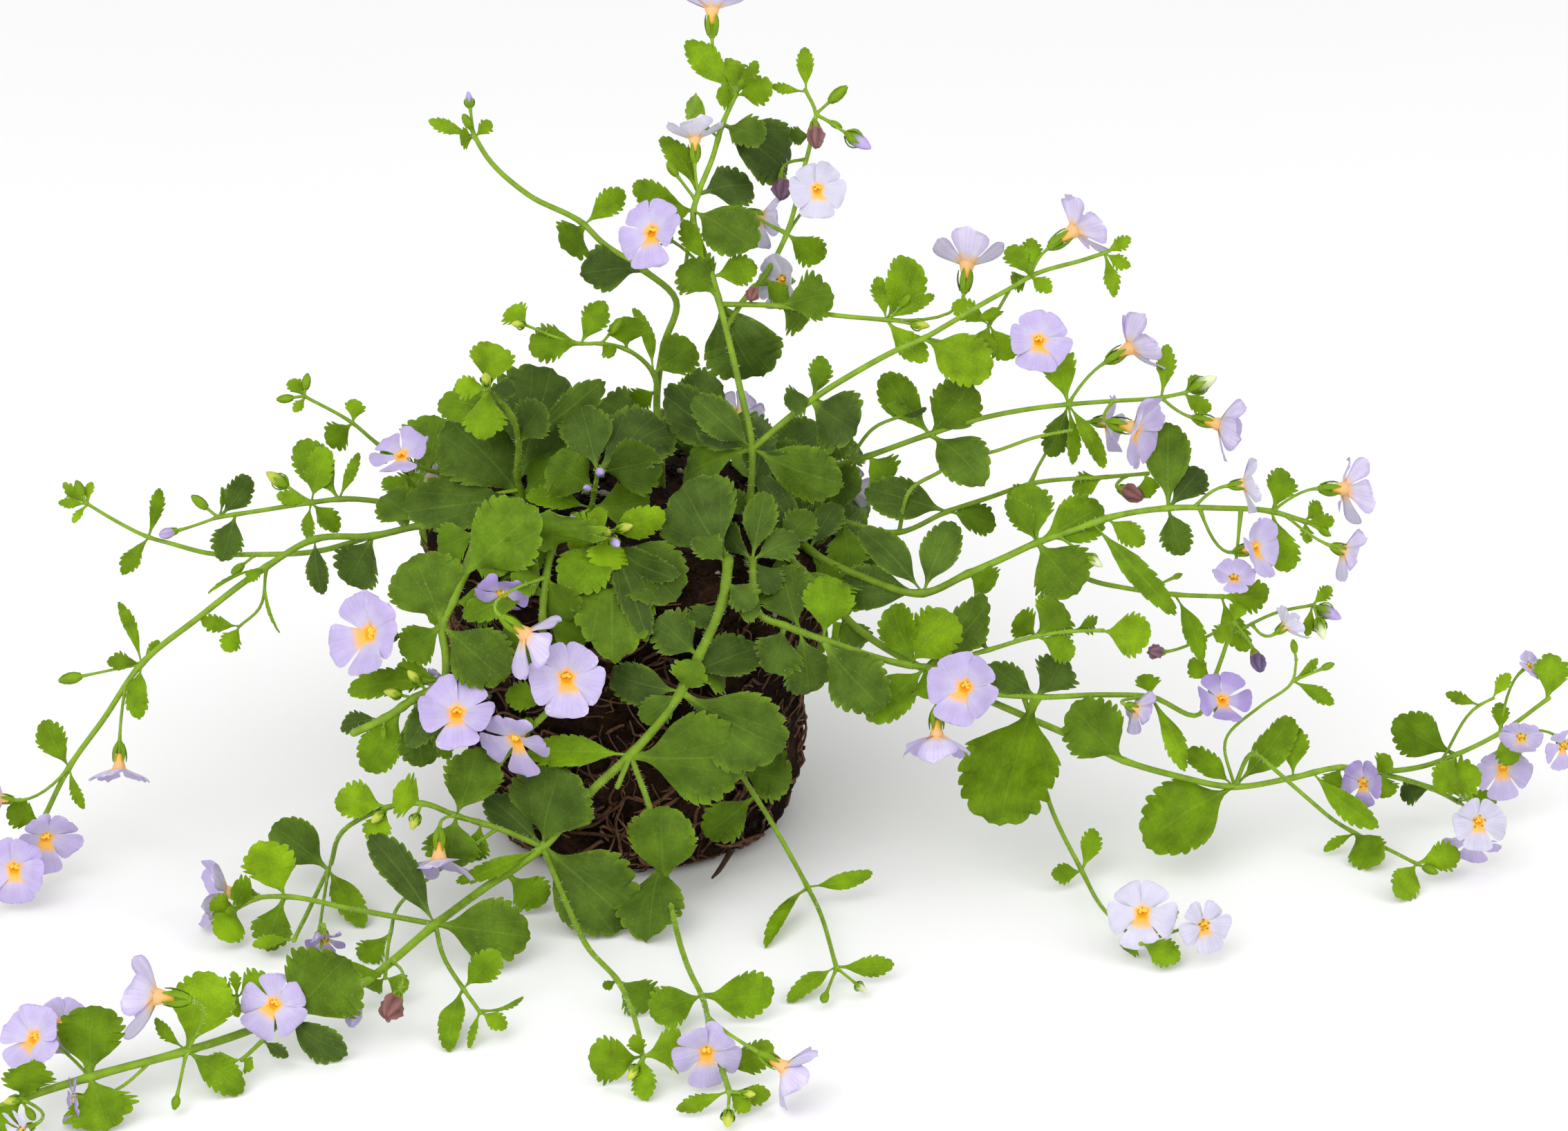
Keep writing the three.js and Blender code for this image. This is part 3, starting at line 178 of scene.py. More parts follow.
# Places on the chart where the blooms are of a deeper violet
VIOLET_PLACES = np.array([(146, 29), (170, 34), (-39, 62), (144, 92), (210, 9), (-90, -38),
                          (-164, -83)])
VIOLET_REACH = 6

SHARP_FROM = math.radians(62)

# The stage: where the lamps stand, their sizes, the fill's share of the key's power
KEY_PLACE, KEY_SIZE = (-0.55, -1.5, 1.3), 1.4
FILL_PLACE, FILL_SIZE, FILL_SHARE = (1.3, -0.6, 0.9), 1.2, 0.25
LAMP_TARGET = (0.03, 0, 0.08)
SENSOR_WIDTH = 36

# The plant, stem by stem, as the solids have it, with commas between the rows. The first shoot
# of a stem stands at its foot in the soil.
# shoot: thickness at its start and its end, and the place of the foot.
# route: across and up on the chart, how far back, and a lowest height.
# leaves: point of the route, tip across, tip up, farther, width, turn about the midrib if any.
# blooms: point of the route, middle across and up, farther, turn right and up, size, spin, kind.
# buds: point of the route, tip across, tip up, farther, length, colour.
STEM_TEXT = """
stem long_centre
shoot 1.5 0.9 33 -16
route 32.5 84 -17, 33 91 -17, 33.6 105 -16, 30 123 -8, 26 140 0, 22 155 8, 20 161 11, 16.6 174 18,
18 179 21, 22 189 27, 25 199 33, 29 208 39
leaves 0 24 94 2 8.9 10, 0 41 93 3 8.9 -10, 2 60 95 -6 15, 2 12 97 16 12, 0.2 52 84 5 14 -40,
1 36 110 12 12 30, 2 16.6 120 -6 10 30, 2 8 121 14 14, 2 17 113 4 10, 2 38 113 10 9, 2 52.6 101 -4 6 20,
4.6 35 125 8 22, 4.6 13 158.6 0 13, 5 35 158 -2 9, 7 34 163 -8 16, 7 9 172.6 0 6, 7 -1 182 4 8,
8 33.6 181.5 8 13, 8 8.4 196 6 7, 9.6 14 206.4 19 7, 10 37 194 -5 10, 10 44 185 8 18, 11 14 222.5 2 8.5,
11 28.4 218.6 4 8, 11 35.6 217 2 4, 11 39.4 210 -3 8, 11 23.4 207 -4 7, 5.6 13 171 -4 6
blooms 11 22 235 3 0 94 20 0 lilac, 8 17 197 2 0 98 17 0 white, 5 3 168.6 -6 -35 12 22 -10 lilac
buds 7.6 9 188 0 5 green, 11 31 212 -6 4 green
shoot 1.1 0.7
route 26 140 0, 31 148 8, 37 155 14, 43.6 167.4 20, 48 184 27, 51 196 32, 52 202 35, 49 209 38
leaves 3 54.4 160 2 9, 2 45 146 -4 6 30, 7 48.6 221.4 0 4.5 20, 7 39 209.6 2 3, 5 44 196 4 5
blooms 3 52.6 180.6 -6 5 5 17 0 white, 3 38 171.6 8 108 -20 16.4 0 lilac, 1.7 41 154 0 -42 0 16.4 0 white,
4.4 42 180 4 0 -60 16 0 withered, 5.4 52 195 -8 10 -60 16 0 withered,
1 33.6 149.6 -6 -10 -40 12 0 withered
buds 6 61 210 0 7 green, 6 59.6 198 0 4 green, 6 68 192 -2 9 lilac
shoot 1 0.8
route 24 147 4, 42 146.4 2, 56 144 0, 73 142.4 -2
leaves 1 57 150 -2 14, 1 50 142 4 11, 3 81 160 3 13, 3 70 155 0 5.5, 3 83.6 130 -2 7.5, 3 86 150 -2 4
blooms 3 96 161 6 -20 108 21 0 lilac
buds 3 79.6 150 -4 5 green, 3 85 140.6 -3 6 yellow
shoot 1.2 0.7
route 33.6 105 -16, 44 114 -14, 51 119.4 -13, 63 127 -12, 76 134 -11, 83 137 -10, 90 141 -9, 100 147 -8,
109 152 -7, 114 155 -6, 130 160 -5, 136 162 -5
leaves 2 53.6 132 3 6.5, 2 43.4 118 -3 9, 2 64 110 -4 19, 5 102.4 126 -4 15, 9 107.2 163.4 2 7,
9 114.4 166.4 4 6, 9 120 150.6 -4 5, 9 108.6 153 5 6, 11 143 166 2 4, 11 138.4 149.4 -3 4.5,
11 143 158 -2 4
blooms 9 129 170 3 100 35 22 0 lilac, 5 117 137 -6 10 10 19 15 lilac
buds 9 114 159 -5 5 green
shoot 0.6 0.6
route 108 151 -7, 102 140.6 -6
leaves 1 91.6 147.4 2 6.5, 1 99 131.6 -3 8.5, 1 109 131 2 8, 1 103 146 -4 6
shoot 0.8 0.6
route 16.6 174 18, 14.6 160 21, 13 150 22
stem back_left_top
shoot 1.5 0.9 8 14
route 7 107 14, 6 117 16, 8 135 22, 11.6 148 27, 2 157 30, -10 165 33, -15 170 35, -31.4 178.8 38,
-43 189.4 41, -47 196 43
leaves 4 -16 156 -4 13, 6 -3.4 180 2 7.5, 6 -21 163 -4 12, 9 -51 195.4 0 6, 9 -60 200 2 4, 9 -42 200 0 4,
0.6 26 124 10 16, 0.4 -12 116 8 18
buds 9 -48.6 208.6 0 5 lilac, 9 -50 202 -3 5 green
shoot 1 0.5
route 6 117 16, 5 127 14, -3 134 12, -10 135.6 11, -16 135.6 10, -22 137 9, -32 141 8
leaves 4 -9 147.6 -2 8, 2 -3 143.4 -2 11, 1 1 146.4 3 4.5 20, 4 -31 135 -3 11, 6 -37 146 0 8,
3 -6.4 132 -2 5, 1 17 135 2 13, 0.5 -1 119 4 7
buds 3 -4 142.6 -4 6 green, 6 -36 141.4 -3 5 yellow
stem right_upper
shoot 1.3 0.7 42 -3
route 45 88 -5, 55 99 -6, 67 103 -8, 85 109.4 -10, 100 114 -10, 116 117 -9, 125 118 -8, 138 119 -7,
152 120 -6, 159 121.4 -6
leaves 0.3 63 87 4 10, 1 36.6 104 4 10, 1 65 93 -4 13, 1 48 93 4 12, 2 73 95 5 12, 3 71.4 127 3 11,
3 97 124 -4 15, 3 73 118.6 -2 3.5, 3 101 96 -10 14, 6 120.4 137 -3 10, 6 135.4 100 -3 5, 6 119 103 3 8,
6 126.6 100.6 2 4, 8 153 135.4 5 5.5, 9 166 116 -3 5, 9 163 126 3 4
blooms 6 145 135.6 3 102 30 20 0 lilac, 8 171 111.6 -2 80 -15 19 0 lilac,
7 147 110.6 -10 60 -12 22 20 lilac
buds 9 168 126 0 9 white
shoot 0.7 0.6
route 61 101 -7, 70 112 -9, 76 114.4 -10
leaves 2 84 117 -1 3 30
stem right_second
shoot 1.2 0.7 50 -9
route 52 85 -11, 60 84 -14, 76 81 -16, 90 87 -13, 102 91 -11, 114 95 -9, 136 97 -8, 148 98 -7
leaves 1 53 89 4 9, 3 67 94 -4 12, 3 104 83 3 9, 2 65 72 3 12, 1 47 84 -4 12, 5 108 90 -5 6, 6 126 93 3 7,
7 149 91 -4 7, 1 62 70 -4 12, 0 49 92 0 9
blooms 5 138 113 3 75 0 17 0 behind, 6.5 144 92 -3 50 -20 16 0 withered
shoot 0.8 0.6
route 76 81 -16, 80 94 -17, 87 98 -17, 96 103 -16, 102 104 -16, 116 108.6 -15, 126 110.6 -14
leaves 3 90 107 3 4
stem right_main
shoot 1.6 0.9 46 -22
route 50 76 -25, 66 68 -34, 83 63.4 -38, 96 69 -34, 106 73.4 -31, 116 78 -28, 126 81.4 -26, 136 85 -24,
154 88 -20, 169 88 -18, 184 87 -16, 194 84 -16
leaves 0 58 90 3 8.9, 0 59 64 -3 8.9 15, 0 36 97 3 9, 2 58 66 8 13, 2 91.6 84 3 11, 2 65 82 2 10,
3 104 66 4 10, 5 113 95 3 13, 5 135.6 89 6 14, 5 128 64 -5 19, 5 107 90 -4 7, 7 147 77.6 -2 7,
8 154 113 4 13, 8 158 74.4 -3 9, 8 164 100 5 10, 10 187 99.6 2 9, 10 188 69 4 10, 11 198.4 89.4 2 5,
11 202 84 -2 5, 11 194 78 -3 4, 6.6 156 57.4 -6 7
blooms 10 207 93.6 2 114 0 20 0 lilac, 10.4 206.4 75 -6 105 -20 16.4 0 lilac,
8.5 177.6 95 -4 88 5 16.4 0 white, 8.6 181 77 -8 50 10 18 0 lilac, 9.4 173 69 -14 0 50 13 0 lilac
buds 11 201 80 -3 4 green, 5.6 135 71 -5 6 white
shoot 1 0.8
route 116 78 -28, 124 71 -26, 132 67 -25, 141 65 -25, 156 63 -24, 170 62.4 -24
leaves 5 183 63 -3 9.5, 5 176 46 3 7, 4 164 44 -6 6
buds 3.4 158 69 2 3 green
stem right_low
shoot 1.5 0.8 33 -38
route 33.6 73 -43, 34 65 -51, 36 57 -54, 43 54 -55, 54 50 -54, 79 42.6 -52, 84 42 -51, 100 35 -47,
116 33.4 -43, 136 34 -39, 149 33.4 -37, 163 28.4 -35, 167 38 -33, 173 55 -31
leaves 0 37.5 93 2 8.9 20, 0 24 84 3 8.9 -20, 0 47 80 3 8.9 15, 0 40 63 -3 8.9, 3.4 42 71 6 16,
4 56 68.6 0 14, 4 71 30 -5 17, 3 38 40.6 -3 14, 5 92 57 -4 15, 6 86 33 -7 10, 6 67.6 26 -5 12,
3.4 50 34 5 14, 6 103 61 3 12, 5.4 74 60 3 11, 8 124 45 0 13, 8 102 43 -3 9, 10 147 40 2 7,
10 159 12 -3 6, 8 106 -4 -6 27, 12 160 44 2 6, 13 174 61 2 5, 13 168 50 -4 6
blooms 6 94.6 36.4 -16 -14 5 22 20 lilac, 6 87 19.6 -12 15 -88 20 0 lilac,
10 146 29.4 -6 112 -20 14 0 lilac, 12 170 33.6 -8 10 30 17 0 lilac, 13 150 46.4 -4 -40 0 13 0 withered,
13 180 43 -4 20 -50 14 0 withered
shoot 0.9 0.7
route 84 42 -51, 102 47 -45, 116 51 -42, 126 52.4 -40, 135 52.6 -39
leaves 4 149 51.4 0 12.5, 3 133.6 56 2 6 30, 2 124 60 2 14, 2 110 57 3 9, 2 127 45 3 8, 1 95 54 4 10
shoot 0.6 0.6
route 173 52 -31, 186 58 -30, 196 60 -29
leaves 2 201.4 65 2 4, 2 194 51 0 3.5
blooms 0.4 189 54.6 -8 90 35 13 0 white
buds 2 204 56 -3 8 lilac, 2 199 50 -4 7 white
shoot 1 0.7
route 112 34 -43, 116 21 -47, 118.6 6 -52, 129 -17 0 5, 137 -30 0 6, 146 -38 0 6
leaves 3 120.4 -18 -3 6, 3 132.4 -4.6 3 6, 5 157 -43 -3 8, 5 156 -27 3 6, 5 141 -40 3 6
blooms 4 146.4 -29 -17 -5 5 21 0 white, 5 165 -32.6 -3 20 5 16 -10 white
stem right_long
shoot 1.5 0.9 38 -30
route 41 76 -34, 50 68 -38, 62 55 -40, 90 38 -38, 112 28 -42, 126 22 -44, 141 15 -44, 156 10.6 -42,
173 7.4 -38, 190 10 -32, 204 13 -28, 214 11.4 -24, 230 7 -18, 238 3 -12
leaves 0 51 87 3 8.9 20, 0 44 61 -2 8.9, 1.8 64 45 6 12, 6 126 31 -5 18, 8 147 -8 -4 20, 8 189.6 28 6 10,
8 159 18 4 7, 9 191 24.6 4 8, 11 218 16 -3 6, 11 218 4.4 -3 7.5, 12 221 5 3 7, 12 244.6 11 -3 11,
10 200 7 3 7, 9.4 214 -4.6 -6 7, 1.4 57 68 4 15, 13 249 3.6 4 5
blooms 10.6 209.6 8.6 -8 -35 0 14 0 lilac, 13 251 12 -6 0 -22 17 0 lilac, 13 244 -3 -40 0 -8 16 0 white,
13 242 -10 2 0 -62 17 0 lilac
shoot 1.1 0.8
route 214 11.4 -24, 228 13.4 -22, 237 16.6 -20, 250 23 -18, 264 33 -15
leaves 2 219.6 27.4 3 13, 2 231 6.6 -4 10, 4 265 46 0 11, 3 254 14 4 7, 3 250 32 3 5
blooms 3 256 21 -8 -15 -40 13 0 lilac, 3 269 18.6 0 20 -30 14 0 lilac, 3 259 43 -3 40 30 9 0 lilac
shoot 0.6 0.5
route 233 15 -21, 244 31 -20, 248 33 -20
leaves 1 234.4 34.4 0 3.5, 2 253 40 0 4
shoot 0.9 0.7
route 173 7.4 -38, 179 17 -40, 184 13 -43, 192 6 -46, 208 -6 0 6, 217 -10.4 0 6, 226 -15 0 6
leaves 4 214 -16.6 -3 11, 4 199 -11 -2 3, 6 238.4 -11.4 -1 8.5, 6 220 -25.4 -2 8.5 15
buds 6 232 -17.6 -2 5 green
shoot 0.6 0.5
route 173 7.4 -38, 171 22 -42, 181 31 -42, 190 38 -41, 191 44 -41
leaves 3 201.6 31 -2 4.5, 3 197 44.6 2 3
buds 3 202 43 0 4 green, 4 190 50 0 4 green
stem front_main
shoot 1.8 1.3 27 -40
route 26.6 73 -47, 25 61 -57, 18 45 -60, 13 35 -61, -1.6 16.6 -61, -12 7 -62, -27 -10 -66 12,
-44 -22 0 10, -58 -32.4 0 11, -80 -50 0 8, -101 -59 0 11, -116 -64.6 0 7, -130 -69 0 10, -158 -76.6 0 11,
-178 -83 0 8, -188 -87 0 7
leaves 0.2 17 80 2 8.9 15, 0.6 34 59 -2 8.9, 0 12.6 95 4 25, 2.6 36 48 5 13, 2 6 56 -2 14, 1 36 59 3 10,
1 16 55 3 8, 3 17.4 44 -6 11, 3 43 19 4 23, 3 -8 40 3 12, 3 1 27 3 9, 2.4 26 40 6 13, 4 32 16 -6 26,
4 -31.6 17.4 2 9, 6 -22 13 -5 25, 6 -1.6 -32 -6 24, 6 -43 5 3 11, 6.6 -26 -26 3 12, 6 -52 -20 -4 5,
8 -31 -36 -3 19, 8 -77 -6.6 0 10, 10 -84 -42 -2 23 -15, 10 -84 -71 -3 11, 9 -79 -44 5 10,
12 -124 -46 4 17, 12 -114 -81 -3 9, 12 -139.6 -60 1 4, 13 -156.6 -56 3 20, 13 -153 -92 -4 19,
14 -175 -72 -7 13, 14 -186 -94 -3 9
blooms 12 -142 -53 -8 -95 5 25 -20 lilac, 13 -175.6 -64.6 -6 -30 18 21 30 lilac,
13 -166 -61 7 0 10 17 0 lilac, 10 -105 -55.5 -8 0 5 20 30 lilac, 9.6 -90 -38 8 10 -60 12 0 lilac,
8.6 -71 -57 -6 -15 -30 21 0 withered, 9 -82 -59 -5 -25 -75 16 0 closed, 12.4 -164 -83 4 -70 0 14 0 lilac,
14 -179 -93 -3 -50 -20 16 0 white
buds 12 -133.6 -86 -4 5 green, 14 -183 -84 -3 6 yellow, 14 -174 -89 -4 5 green
shoot 1.1 0.8
route -27 -10 -66 12, -19 -29 0 10, -13.6 -39.6 0 9, -5.4 -48.6 0 9, -3 -53 0 9, 1 -65 0 8, 2 -71 0 8
leaves 3 5 -57 0 12, 3 -9.6 -50.6 0 3, 6 -13.8 -71.6 -2 14, 6 16 -67.6 2 12.5, 6 3.6 -83 -2 7,
6 -1 -65 -4 5
buds 6 -2.4 -77.6 -4 6 yellow
shoot 1.1 0.9
route -1.6 16.6 -61, 5 -2 -63, 8 -15 -65 8, 11 -31 0 9, 16 -47 0 9, 19 -53 0 9, 22 -65 0 8, 27 -81 0 6
leaves 2.3 7 1 -6 20, 2 3 -38 4 18, 5 4.4 -59 -3 12, 5 40 -53 2 13.5, 7 11.6 -85.6 -2 5, 7 39 -82 2 6,
6.6 39.6 -67.4 3 9, 7 33 -86 -2 6
blooms 5 20.4 -70.6 -14 0 -30 21 0 lilac, 5.2 45 -75 -4 90 -30 20 0 lilac
buds 7 26.4 -91 -2 7 yellow, 7 34.6 -81.6 -4 5 yellow
shoot 1 0.8
route 13 35 -61, 20 28 -58, 30.4 11 -49, 40.4 -5 -48, 49.6 -21.6 0 6, 52.8 -28 0 6, 58 -45 0 5
leaves 2 45 9.5 -2 15, 2.4 20 -7 0 12, 4 68.4 -17.8 0 5 30, 4 37.6 -38.6 0 5 30, 6 44 -54.4 0 5.5 30,
6 74.6 -44 0 6 30
buds 6 54 -55 -2 5 green, 6 66.6 -52 -2 5 white
shoot 1.1 0.8
route -27 -10 -66 12, -40 -4.6 -68, -52 -1 -70, -62 2.6 -72, -72 1.4 -74, -80 -2 -76, -89 -16.6 0 9,
-96 -31 0 7, -99 -37 0 7
leaves 2 -46 18.6 -3 16, 2 -54 -16 -1 16, 3 -70 6 -3 12, 4 -87 4 -2 10.5, 6 -105 -4 4 13, 6 -80 -33 -2 8,
8 -111 -38 0 4 30, 4 -76 -9 -3 8, 1.4 -47 -14 4 8
blooms 1.6 -57 -16 -11 0 -80 21 0 lilac, 6 -92 -36.5 2 0 -30 9 0 closed
buds 3 -65 -5 -6 6 yellow, 4 -76.4 -3 -5 6 yellow
shoot 1 0.8
route -58 -32.4 0 11, -84 -27.6 0 14, -101.6 -24.4 0 14, -110 -25 0 12, -116 -28 0 10
leaves 2 -107 -40 -3 11.5, 2 -108 -8 -6 15, 3 -117 -22 -3 9, 4 -120 -37 -5 10, 4 -123.4 -26.6 -4 7
blooms 3.6 -121 -23 8 -78 5 20 20 lilac
buds 4 -118 -29 -8 6 green
shoot 0.9 0.7
route -58 -32.4 0 11, -56 -41 0 9, -50 -51 0 8, -45 -58 0 7
leaves 2 -40 -40 -2 9, 2 -55 -68.6 -2 7, 3 -32.6 -54 0 3 30, 3 -48 -68 0 2.5 30, 3 -37.4 -62.4 -2 5
shoot 0.8 0.7
route -101 -59 0 11, -108 -66 0 8, -114 -71.6 0 7
leaves 2 -125 -74.6 0 7, 2 -111 -74 -2 5, 1 -101 -71 -3 4
shoot 0.7 0.6
route -101 -59 0 11, -115 -56 0 15, -115.6 -53 0 17
leaves 2 -124 -52 -4 9.5, 2 -106 -47.6 3 9, 2 -116 -46 0 3, 2 -115 -59 -3 3
shoot 0.8 0.6
route -40 -4.6 -68, -56 -16 -74, -67 -25 0 9, -71 -35 0 9, -72.6 -48 0 8
leaves 3 -80 -43 3 8, 4 -66 -51 0 6, 4 -78 -51 3 6
shoot 1 1
route -1.6 16.6 -61, -5.4 7.4 -66
stem left_upper
shoot 1.3 0.8 -40 -2
route -44 90 -3, -64 89 -5, -86 90.6 -6, -94 89.6 -6, -108 87.4 -6, -121 85.4 -6
leaves 2 -79.6 103.6 -2 3 30, 2 -97.4 107.4 2 11, 3 -89 105.4 -2 8.5, 3 -104 91.6 0 4.5, 3 -86 81.6 -2 6,
3 -95 78 3 4, 5 -111.6 97 2 7.5, 4.6 -120 73 -4 9, 5 -120 94 1 2.5 30, 1 -73 97 5 6, 1 -72 86 8 9
blooms 5 -136 80.6 -3 -75 -15 10 0 closed
buds 3 -107 98.4 3 8 yellow, 5 -128.6 91.6 0 6 green
stem left_middle
shoot 1.4 0.9 -44 -14
route -50 84 -16, -62 83 -17, -76 80 -18, -93 79 -19, -107 71 -22, -127 56 -26, -143 43 -30, -154 27 -34,
-164 13 -38, -172 -3 -42 6, -181 -19 0 7, -188 -27 0 6
leaves 2 -82.6 66 6 15, 3 -91.4 63.4 -3 6.5, 4 -113 66.6 -3 3.5, 4 -124 64 0 2 30, 6 -149 61 2 4 30,
6 -153 44 -2 5, 6 -144 27 -3 7, 8 -171.6 26.6 0 8.5, 8 -160.4 1 -2 3.5, 9 -182 1 -2 8.5,
4 -105 52 -2 2 30, 1 -74 92 5 12, 6 -138 50 3 3
blooms 6.4 -149.6 10.6 -3 -10 -86 18 0 lilac, 8 -185 4 -3 -90 5 14 0 lilac,
9 -170 -8.6 -11 30 -30 20 0 lilac, 9.6 -180.6 -16.6 -16 -8 -5 20 0 lilac
buds 6 -167 38 0 7 green
shoot 1.1 0.6
route -76 80 -18, -93 75.4 -13, -110 74.6 -11, -124 75 -10, -134 77.6 -10, -141 79.6 -10, -150 84 -10,
-159 89.4 -10
leaves 5 -138.4 93.8 0 4.5 20, 5 -148.4 68.6 -2 5.5, 7 -166 95 0 3.5, 7 -167 90 -2 3, 7 -163 84 -2 2.5,
7 -158 95.6 2 3
buds 7 -162 96 -2 5 green, 2 -117 69 -5 5 green
shoot 0.6 0.5
route -107 71 -22, -109 59 -26, -115 53.6 -27
leaves 2 -119 46.6 -2 6, 2 -126 55.6 0 5
stem left_high
shoot 1.1 0.6 -34 10
route -40 95 9, -60 99 7, -74 106 5, -82 112.6 5, -96 120.4 5
leaves 3 -81 119.6 1 5.5, 3 -89.6 107 -2 8, 4 -100.4 125 1 4.5, 4 -99 116 -2 3, 2 -72 101 3 6,
1 -57 115 4 18, 0.4 -40 112 4 14, 1 -68 91 3 10
buds 4 -104 119.4 0 5 green, 4 -95 127 1 5 green
stem crown_high
shoot 1.4 1 -32 -10
route -33 91 -12, -34.4 97 -14, -34 107 -17, -35.6 114 -20, -39.6 119.4 -23, -43 123 -26
leaves 5 -42 136.4 2 12, 5 -52.4 123.6 -2 6.5, 5 -35 122 -2 6.5, 5 -44.6 108 -4 12, 2 -26.6 118 -5 12,
1 -24 129 10 28, 2 -9.4 125.4 12 9, 3 -57 120 7 11, 0 -53.6 114 -3 23, 0 -67 87 -3 16, 0 -19 104 5 14
blooms 0.4 -68.6 105 -8 -25 45 19 -20 lilac
buds 5 -43.6 127 -6 6 yellow, 5 -44 120 -7 4 green
stem crown_left
shoot 1.6 1.5 -34 -26
route -44 84 -38, -49.6 69 -50, -53 61 -54, -56 54 -56, -55 45 -58, -55.6 38 -60, -64 33 -62, -73 27 -64,
-81.6 23 -66
leaves 1 -28 88 -14 22, 2 -40 60 6 13, 0.8 -37 70 -6 8, 3 -64 74 -3 22, 3 -68 46 -2 12, 3 -38 38 -2 18,
6 -62 13 4 13, 6.4 -78 11 5 12, 5 -70 41 4 9, 5 -66 19 -4 9, 0.3 -57 76 5 12, 5 -84 36 4 8, 7 -86 25 3 6,
5.4 -54 15 2 6
blooms 3 -79 52 -6 -38 5 26 70 lilac, 5 -52 30 -8 0 26 23 0 lilac, 5 -60 38.6 2 -10 -40 8 0 behind
buds 5.6 -66 41 -6 6 yellow, 6 -73 35 -5 6 yellow, 7 -73 21 -4 4 green
stem crown_front
shoot 1.5 1.1 -22 -36
route -24 78 -42, -26 68 -54, -27 56 -58, -26 44 -60, -24 32 -61, -33 22 -63, -41 12 -65, -44.6 5 -66
leaves 1.5 -36 72 4 16, 1 -18 56 -2 16 15, 0 -44 84 -8 20 -30, 0.4 -24 86 -10 27, 1 -36 66 -5 9,
2 -14 50 3 15, 3 -40 50 4 14, 4 -38 34 3 8, 4 -14 44 4 11, 1 -50 56 3 8.9, 2 -16 43 8 8.9, 0 -32 71 -4 8,
3 -15 34 6 8.9 10
blooms 1 -30 50 -10 118 -34 22 0 lilac, 3 -20 39 -10 5 0 23 0 lilac, 5 -36 19.5 -9 -30 -35 22 0 lilac,
1.4 -39 62 -2 -10 -50 16.4 0 behind
stem crown_middle
shoot 1.3 0.9 -6 -32
route -7 78 -37, -9 81 -40
leaves 1 -20 80 -3 12.5, 1 8 86.6 -5 9, 1 -8 69.6 -6 12, 1 -12 88 2 6, 0 -7 46 -22 23, 0 12 61 -14 20 -30,
0 -20 64 -18 15, 0 3 52 -21 8.9, 0 10 67 -18 8.9 20
buds 1 -8 81 -8 5 yellow, 1 -1 83 -6 6 yellow, 1 -5 77 -9 6 lilac
stem crown_top
shoot 1.3 0.8 -12 -14
route -13 88 -16, -12 93 -18, -11 99 -20
leaves 1 -24.6 102 -5 17, 2 7 103 -3 16, 2 -16 118 6 15, 2 9 112 8 20, 0 -31.6 92 -3 7, 0 4 90 1 13 -15
buds 2 -10 98 -7 6 lilac, 1 -15 94 -8 5 lilac, 0 -20 84 -4 5 lilac
stem back_middle
shoot 1.3 0.8 4 38
route 4 112 44, 2 110 62, -2 88 82, -6 66 96, -10 52 108
leaves 0 20 116 3 16, 0 -14 112 5 16, 0 13 109 -20 15, 0 -8 106 -20 15, 1 20 94 8 17, 1 -18 96 8 17,
2 16 74 6 16, 2 -20 74 6 16, 3 10 56 6 13, 3 -22 58 6 13, 4 -2 46 5 9, 4 -20 44 5 9, 4 -10 40 4 6
blooms 1 6 88 22 150 10 19 0 lilac, 3 -12 74 20 170 10 19 0 lilac
shoot 1 0.7
route 2 110 62, 12 112 72, 21 108 84, 27 99 95
leaves 1 2 112 14 13 20, 2 12 98 12 13 20, 2 34 107 4 12 -20, 3 20 88 8 11 20, 3 38 92 2 11 -20,
3 28 86 6 6
blooms 2 30 116 12 160 30 15 0 lilac
shoot 1 0.7
route -2 88 82, -13 94 91, -23 91 102, -30 80 111
leaves 1 -4 102 8 13 20, 1 -22 100 -8 13 -20, 2 -16 80 12 13 20, 2 -34 96 2 12 -20, 3 -24 70 6 10 20,
3 -40 74 2 10 -20, 3 -32 68 4 6
blooms 2 -26 103 12 185 25 15 0 lilac
stem back_left
shoot 1.3 0.8 -30 30
route -34 104 38, -42 100 52, -46 84 68, -48 66 80, -48 52 92
leaves 0 -22 114 6 15, 0 -24 101 -16 14 -15, 0 -46 116 5 15, 1 -58 98 7 16, 1 -28 92 10 16, 2 -62 78 6 15,
2 -32 76 8 15, 3 -60 56 6 12, 3 -36 56 6 12, 4 -54 44 5 8, 4 -42 44 5 8
blooms 2 -52 84 20 190 10 18 0 lilac
shoot 1 0.7
route -42 100 52, -49 106 61, -54 103 73, -57 94 84
leaves 1 -60 108 -8 13 20, 1 -42 108 14 13 -20, 2 -64 104 4 12 20, 2 -44 94 12 12 -20, 3 -64 86 4 11 20,
3 -50 84 2 11 -20, 3 -58 82 6 6
blooms 2 -60 96 14 215 20 15 0 lilac
stem back_right
shoot 1.3 0.8 32 30
route 37 102 38, 44 100 52, 50 86 66, 54 70 76, 56 56 86
leaves 0 27 114 6 15, 0 28 100 -16 14 45, 0 54 110 4 15, 1 60 96 7 15, 1 33 94 10 15, 2 66 80 6 15,
2 38 78 8 15, 3 66 60 6 12, 3 44 58 6 12, 4 62 48 5 8, 4 50 46 5 8
blooms 1 50 104 24 165 20 18 0 white
shoot 1 0.7
route 44 100 52, 51 106 59, 56 103 70, 60 93 80
leaves 1 40 110 14 13 20, 1 62 110 -6 13 -20, 2 46 96 2 12 20, 2 66 104 4 12 -20, 3 52 84 8 11 20,
3 68 86 4 11 -20, 3 60 81 6 6
blooms 2 62 95 14 150 20 15 0 lilac
"""
